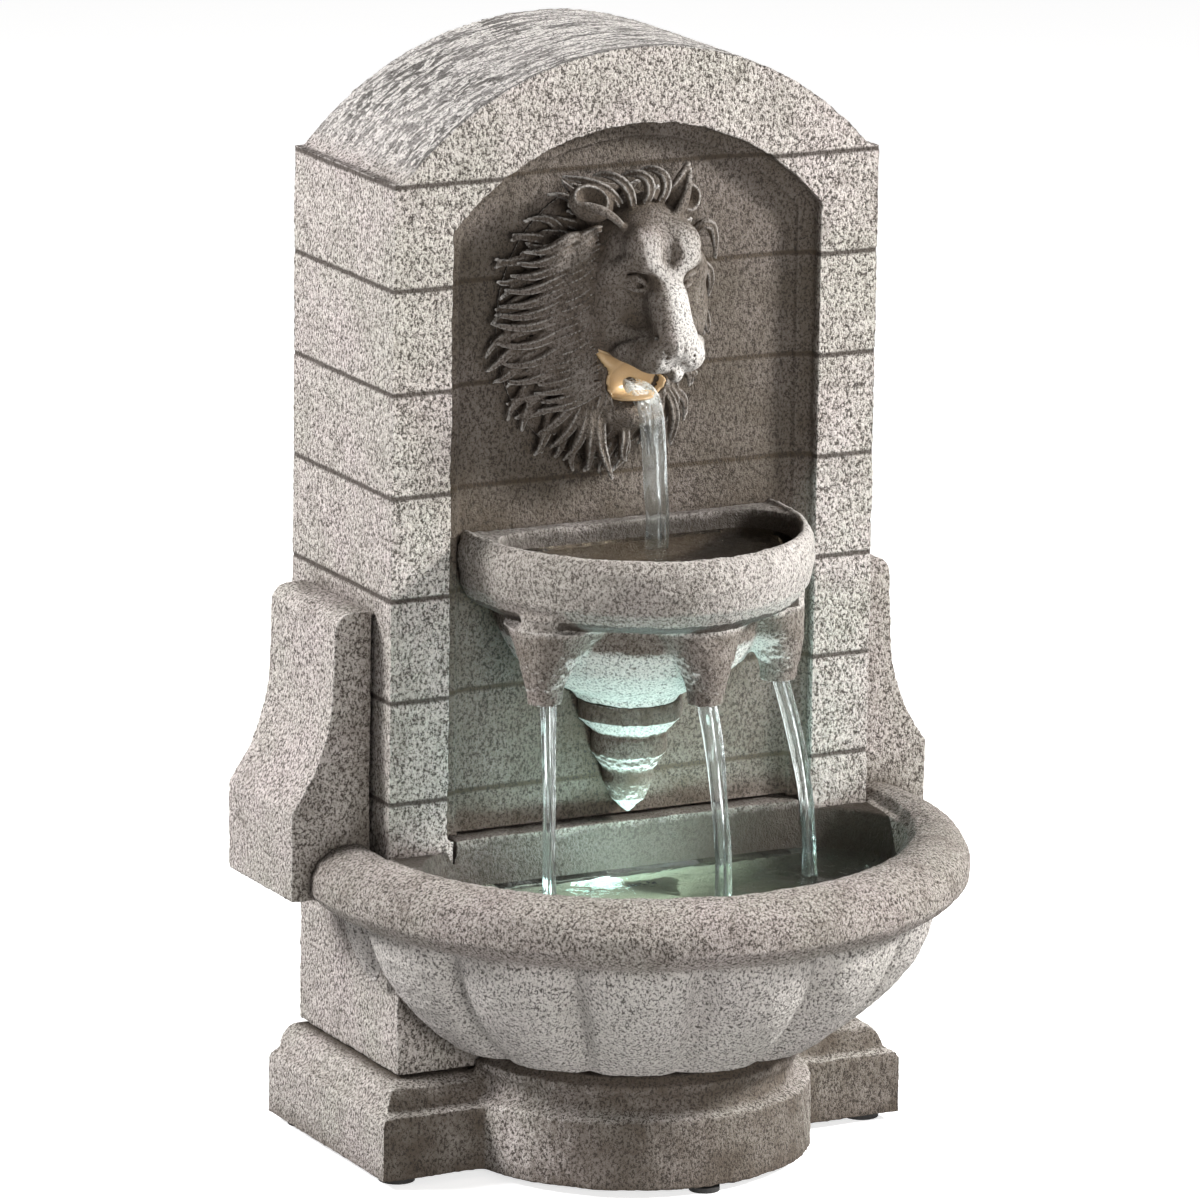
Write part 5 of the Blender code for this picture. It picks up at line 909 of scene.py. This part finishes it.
# Large tufts round the face: four points of each in millimetres, and its size in tenths of one
TUFTS = (
    ((-48, 36, 668), (-62, 42, 672), (-70, 36, 655), (-84, 22, 657), 62),
    ((-52, 34, 650), (-66, 38, 652), (-76, 30, 636), (-92, 16, 640), 66),
    ((-54, 32, 632), (-68, 36, 632), (-78, 26, 616), (-98, 12, 618), 66),
    ((-54, 30, 614), (-68, 34, 612), (-80, 26, 598), (-104, 12, 606), 68),
    ((-50, 30, 596), (-64, 34, 590), (-74, 26, 574), (-94, 12, 576), 68),
    ((-46, 30, 578), (-60, 32, 568), (-68, 24, 552), (-86, 10, 550), 66),
    ((-42, 30, 562), (-52, 32, 546), (-56, 22, 534), (-66, 10, 524), 64),
    ((-36, 30, 552), (-42, 32, 530), (-40, 24, 516), (-46, 10, 504), 64),
    ((-24, 28, 540), (-34, 32, 524), (-22, 24, 508), (-10, 14, 488), 66),
    ((-10, 28, 536), (-6, 32, 520), (-12, 24, 508), (1, 14, 500), 60),
    ((8, 28, 538), (14, 32, 524), (10, 24, 512), (18, 14, 502), 62),
    ((26, 28, 548), (34, 32, 532), (30, 22, 518), (38, 10, 508), 62),
    ((44, 30, 664), (54, 38, 676), (60, 30, 660), (68, 16, 640), 60),
    ((46, 28, 640), (56, 34, 640), (60, 24, 624), (66, 10, 612), 60),
    ((44, 26, 612), (54, 32, 608), (58, 22, 592), (66, 10, 586), 60),
    ((-20, 36, 690), (-30, 40, 702), (-40, 30, 706), (-52, 16, 706), 62),
    ((-10, 38, 688), (-14, 44, 704), (-24, 34, 712), (-30, 18, 706), 60),
    ((0, 40, 690), (6, 46, 704), (-4, 36, 714), (-12, 22, 704), 60),
    ((12, 40, 690), (20, 44, 704), (12, 34, 714), (4, 22, 708), 58),
    ((20, 36, 694), (32, 40, 706), (38, 30, 712), (44, 18, 708), 58),
)


def mirrored(side, *points):
    """Points of the face's right side, or of its left side where side is -1."""
    return [(FACE_X + side * x, depth, z) for x, depth, z in points]


def sculpt_face(clay):
    """Skull, forehead, brows, long broad bridge, cheeks, muzzle, lips and jaw."""
    c = FACE_X
    clay.ball((c, 0.022, 0.632), (0.044, 0.034, 0.054), soft=0.012)
    clay.ball((c, 0.038, 0.662), (0.031, 0.024, 0.026), (18, 0), soft=0.012)
    for side in (-1, 1):
        cheek, brow, knob = mirrored(side, (0.028, 0.03, 0.606), (0.03, 0.04, 0.64),
                                     (0.015, 0.06, 0.662))
        clay.ball(cheek, (0.02, 0.02, 0.032), (0, side * 8), soft=0.012)
        clay.ball(brow, (0.013, 0.013, 0.013), soft=0.01)
        clay.ball(knob, (0.013, 0.01, 0.014), (20, side * 15), soft=0.009)
    clay.ball((c, 0.054, 0.614), (0.0135, 0.022, 0.03), soft=0.006)
    clay.cord([(c, 0.052, 0.65), (c, 0.066, 0.632), (c, 0.074, 0.612), (c, 0.08, 0.6)],
              (0.013, 0.0135, 0.014, 0.0155), flat=0.75, soft=0.01)
    for side in (-1, 1):
        lip, jowl = mirrored(side, (0.0115, 0.068, 0.5865), (0.02, 0.05, 0.592))
        clay.ball(lip, (0.015, 0.0185, 0.0135), (0, side * 12), soft=0.006)
        clay.ball(jowl, (0.015, 0.02, 0.0125), (0, side * 22), soft=0.008)
    clay.ball((c, 0.079, 0.601), (0.015, 0.01, 0.0085), (-16, 0), soft=0.004)
    clay.ball((c, 0.074, 0.575), (0.008, 0.01, 0.008), soft=0.004)


def carve_face(clay):
    """Eye hollows, furrow, nostrils, mouth and the lines round the muzzle."""
    c = FACE_X
    clay.cord([(c, 0.07, 0.69), (c, 0.074, 0.668), (c, 0.07, 0.65)], (0.0035, 0.0045, 0.003),
              soft=0.006, cut=True)
    for side in (-1, 1):
        eye = mirrored(side, (0.0205, 0.064, 0.6375))[0]
        clay.ball(eye, (0.0085, 0.012, 0.0065), (0, side * -18), soft=0.005, cut=True)
        clay.cord(mirrored(side, (0.006, 0.08, 0.5995), (0.011, 0.085, 0.5985), (0.0145, 0.078, 0.603)),
                  (0.002, 0.003, 0.0018), cut=True)
        clay.cord(mirrored(side, (0.017, 0.076, 0.606), (0.028, 0.06, 0.602), (0.036, 0.044, 0.588)),
                  (0.0012, 0.0026, 0.002), soft=0.005, cut=True)
        for row in range(3):
            down = 0.004 * row
            line = mirrored(side, (0.01, 0.088 - 0.001 * row, 0.592 - down), (0.019, 0.078, 0.59 - down),
                            (0.026, 0.066, 0.59 - down))
            clay.cord(line, (0.0007, 0.0009, 0.0006), soft=0.0012, cut=True)
    clay.cord([(c, 0.093, 0.597), (c, 0.092, 0.588), (c, 0.088, 0.574)], (0.0012, 0.0016, 0.0016),
              soft=0.003, cut=True)
    skin = clay.field.copy()
    room = clay.blank()
    room.ball((c - 0.006, 0.048, 0.564), (0.028, 0.032, 0.019), (16, 0), soft=0.004)
    for side in (-1, 1):
        room.cord(mirrored(side, (0.012, 0.046, 0.562), (0.028, 0.044, 0.573), (0.039, 0.038, 0.585)),
                  (0.0125, 0.0095, 0.003), flat=1.3, soft=0.004)
    clay.carve((slice(None),) * 3, room.field, 0.0012)
    return skin, room


def refine_face(clay):
    """Eyes with lids, brows, ears, lower lip, beard and the large tufts."""
    c = FACE_X
    for side in (-1, 1):
        ball = mirrored(side, (0.02, 0.053, 0.636))[0]
        clay.ball(ball, (0.0058, 0.0052, 0.0048), soft=0.0012)
        clay.cord(mirrored(side, (0.012, 0.059, 0.633), (0.02, 0.064, 0.644), (0.0285, 0.052, 0.6375)),
                  (0.0016, 0.0026, 0.0016), flat=0.9)
        clay.cord(mirrored(side, (0.0125, 0.059, 0.632), (0.02, 0.06, 0.629), (0.0275, 0.052, 0.635)),
                  (0.0012, 0.0019, 0.0012), flat=0.9)
        clay.cord(mirrored(side, (0.006, 0.0665, 0.643), (0.017, 0.07, 0.656), (0.03, 0.054, 0.648)),
                  (0.0045, 0.0062, 0.004), flat=0.8, soft=0.006)
    for ear, hollow, tilt, fold, radii in EARS:
        clay.ball(*ear, (0, tilt), soft=0.004)
        clay.ball(*hollow, (0, tilt), soft=0.002, cut=True)
        clay.cord(fold, radii, flat=0.9)
    for k in range(20):
        z = 0.672 - 0.0061 * k
        inward = 0.007 * math.cos((k - 8) / 9.0) + 0.002 * (k % 2)
        clay.lock([(-0.03 - inward, 0.036, z), (-0.046, 0.044, z + 0.001), (-0.054, 0.038, z - 0.01),
                   (-0.07 - 0.003 * (k % 3), 0.024, z - 0.012)],
                  (0.0026, 0.0036, 0.0034, 0.0014), flat=0.9, strands=1.6, soft=0.0011)
    clay.ball((c - 0.005, 0.023, 0.5375), (0.024, 0.019, 0.0115), soft=0.006)
    tufts = [(np.array(points) / 1000, size / 10000) for *points, size in TUFTS]
    between = [((first + second) / 2, size) for (first, size), (second, _) in zip(tufts[:8], tufts[1:9])]
    for points, size in tufts + between:
        clay.lock(points, (size * 0.6, size * 0.78, size * 0.6, size * 0.22), flat=0.72, soft=0.0014)


def make_lion():
    """The lion mask, sculpted as one skin with a flat back."""
    clay = Clay((-0.116, -0.004, 0.478), (0.084, 0.098, 0.722), 0.00115)
    rng = np.random.RandomState(7)
    sculpt_mane(clay, rng)
    sculpt_face(clay)
    skin, room = carve_face(clay)
    refine_face(clay)
    back = clay.low[1] + clay.cell * np.arange(clay.count[1])
    clay.field = np.maximum(clay.field, (0.0004 - back)[None, :, None].astype(np.float32))

    def to_world(spots):
        return np.stack((LION_X + spots[:, 0], NICHE_Y - spots[:, 1], spots[:, 2]), axis=1)

    mesh = clay.mesh("lion_face", to_world)
    cast = stone("lion_cast_stone", wash_and_shade=0.95, speckle=0.74, dark=0.95, where=proud_parts, pale=0.78,
                 tips=0.95)
    obj = link_piece("lion_face", mesh, cast)
    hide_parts("lion_mask")
    make_mouth(room, skin, to_world)


def make_mouth(room, skin, to_world):
    """The amber mouth: a scoop that lines the mouth, with a lip and a tube through the wall."""
    shell = room.blank()
    shell.field = np.maximum(np.maximum(room.field + 0.0003, -(room.field + 0.0024)), skin + 0.0015)
    shell.ball((FACE_X - 0.008, 0.03, 0.55), (0.017, 0.015, 0.0022), soft=0.0015)
    shell.cord([(0.0, 0.008, 0.5555), (0.0003, 0.018, 0.556), (0.0, 0.028, 0.5565)], (0.0046,) * 3,
               soft=0.0008, cut=True)
    bm = bmesh.new()
    bm.from_mesh(shell.mesh("mouth_lining", to_world))
    sides = 32
    front, back = FACE_Y - 0.001, FACE_Y + 0.064
    loft(bm, [[Vector((LION_X + radius * math.cos(a), y, SPOUT_Z + radius * math.sin(a)))
               for a in turns(sides)]
              for radius, y in ((0.0045, back), (0.0065, back), (0.0065, front), (0.0045, front))],
         closed=True)
    amber = moulded("amber_plastic_mouth", (0.5, 0.345, 0.185), 0.25, 0.18, 0.04)
    obj = link_piece("amber_mouth", mesh_of(bm, "amber_mouth"), amber)
    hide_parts("mouth_spout")


# Slot, and its material's name, colour, roughness, spread of the colour, bump and scale of the grain
PLASTICS = {
    "black_plastic": ("black_moulded_plastic", (0.02, 0.02, 0.022), 0.42),
    "rubber": ("black_rubber", (0.028, 0.027, 0.026), 0.78, 0.2, 0.12),
    "amber_plastic": ("amber_plastic", (0.6, 0.36, 0.14), 0.22, 0.16, 0.04),
    "dial_plastic": ("dial_plastic", (0.1, 0.16, 0.3), 0.4),
    "white_plastic": ("white_plastic", (0.74, 0.73, 0.69), 0.3, 0.05),
    "circuit_board": ("lacquered_board", (0.05, 0.26, 0.12), 0.25, 0.3, 0.03, 420.0),
    "ceramic": ("polished_ceramic", (0.88, 0.86, 0.82), 0.12, 0.03, 0.02),
    "hose_plastic": ("milky_hose", (0.7, 0.73, 0.73), 0.28, 0.06),
}


def dress_hardware():
    """Materials of the pieces that aren't stone, and the lamp's glowing lens."""
    slots = {slot: moulded(*values) for slot, values in PLASTICS.items()}
    slots["steel"] = metal("satin_steel", (0.62, 0.61, 0.59), 0.3)
    slots["door_plastic"] = stone("door_stone_finish", wash_and_shade=0.5)
    hose = slots["hose_plastic"].node_tree.nodes["Principled BSDF"]
    hose.inputs["Transmission Weight"].default_value = 0.35
    for part in frame["record"]["subparts"]:
        if part["material_slot"] in slots:
            dress(part["node"], slots[part["material_slot"]])
    lens = Shader("glowing_lens")
    cells = lens.node("ShaderNodeTexVoronoi", Vector=lens.place, Scale=420.0).outputs["Distance"]
    lens.set(lens.bsdf, Base_Color=(0.75, 0.97, 0.93), Roughness=0.12, Emission_Color=(0.7, 1.0, 0.95),
             Emission_Strength=11.0, Normal=lens.bump(cells, 0.2, 0.0005))
    dress("lamp_lens", lens.material)


def lamp(name, kind, place, target, power, colour, size):
    """A lamp that looks at a target."""
    data = bpy.data.lights.new(name, kind)
    data.energy = power
    data.color = colour
    if kind == "AREA":
        data.shape = "DISK"
        data.size = size
    else:
        data.shadow_soft_size = size
    obj = add_object(name, data)
    obj.location = place
    obj.rotation_euler = (Vector(target) - Vector(place)).to_track_quat("-Z", "Y").to_euler()
    return data


def make_lights():
    """Soft studio light from the left and the right, and the lamp's glow in the basin."""
    middle = (0.0, 0.0, 0.4)
    lamp("left_key", "AREA", (-2.4, 1.2, 2.05), middle, 136.0, (1.0, 0.985, 0.985), 0.9)
    lamp("right_key", "AREA", (2.45, -1.3, 2.0), middle, 165.0, (1.0, 0.985, 0.965), 0.6)
    lamp("front_fill", "AREA", (-0.4, -3.3, 0.8), (0.0, 0.0, 0.3), 48.0, (1.0, 0.985, 0.96), 1.2)
    glow = lamp("basin_glow", "SPOT", (0.0, FACE_Y - 0.07, 0.148), (0.0, FACE_Y - 0.045, 0.4), 1.6,
                (0.68, 1.0, 0.99), 0.02)
    glow.spot_size = math.radians(140)
    glow.spot_blend = 0.9
    world = bpy.data.worlds.new("studio")
    bpy.context.scene.world = world
    world.use_nodes = True
    background = world.node_tree.nodes["Background"]
    background.inputs["Color"].default_value = (1.0, 1.0, 1.0, 1.0)
    background.inputs["Strength"].default_value = 0.17


def make_floor():
    """A pale floor that keeps the fountain's shadow and runs to the horizon as white."""
    bm = bmesh.new()
    bmesh.ops.create_grid(bm, x_segments=2, y_segments=2, size=14.0)
    obj = add_object("floor", mesh_of(bm, "floor", smooth=False))
    s = Shader("floor_white")
    s.tree.nodes.remove(s.bsdf)
    matt = s.node("ShaderNodeBsdfDiffuse", Color=(0.8, 0.8, 0.8))
    dull = s.node("ShaderNodeBsdfDiffuse", Color=(0.32, 0.32, 0.32))
    glow = s.node("ShaderNodeEmission", Color=(1.0, 1.0, 1.0), Strength=0.7)
    path = s.node("ShaderNodeLightPath")
    seen = s.math("MAXIMUM", path.outputs["Is Camera Ray"],
                  s.math("MAXIMUM", path.outputs["Is Glossy Ray"], path.outputs["Is Transmission Ray"]))
    both = s.plug(s.node("ShaderNodeAddShader"), matt.outputs[0], glow.outputs[0])
    s.link(s.blend(seen, dull.outputs[0], both), s.output.inputs["Surface"])
    obj.data.materials.append(s.material)


make_camera()
bpy.context.scene.view_settings.view_transform = "Standard"
dress_stone()
dress_hardware()
make_lion()
make_pools()
make_streams()
make_lights()
make_floor()
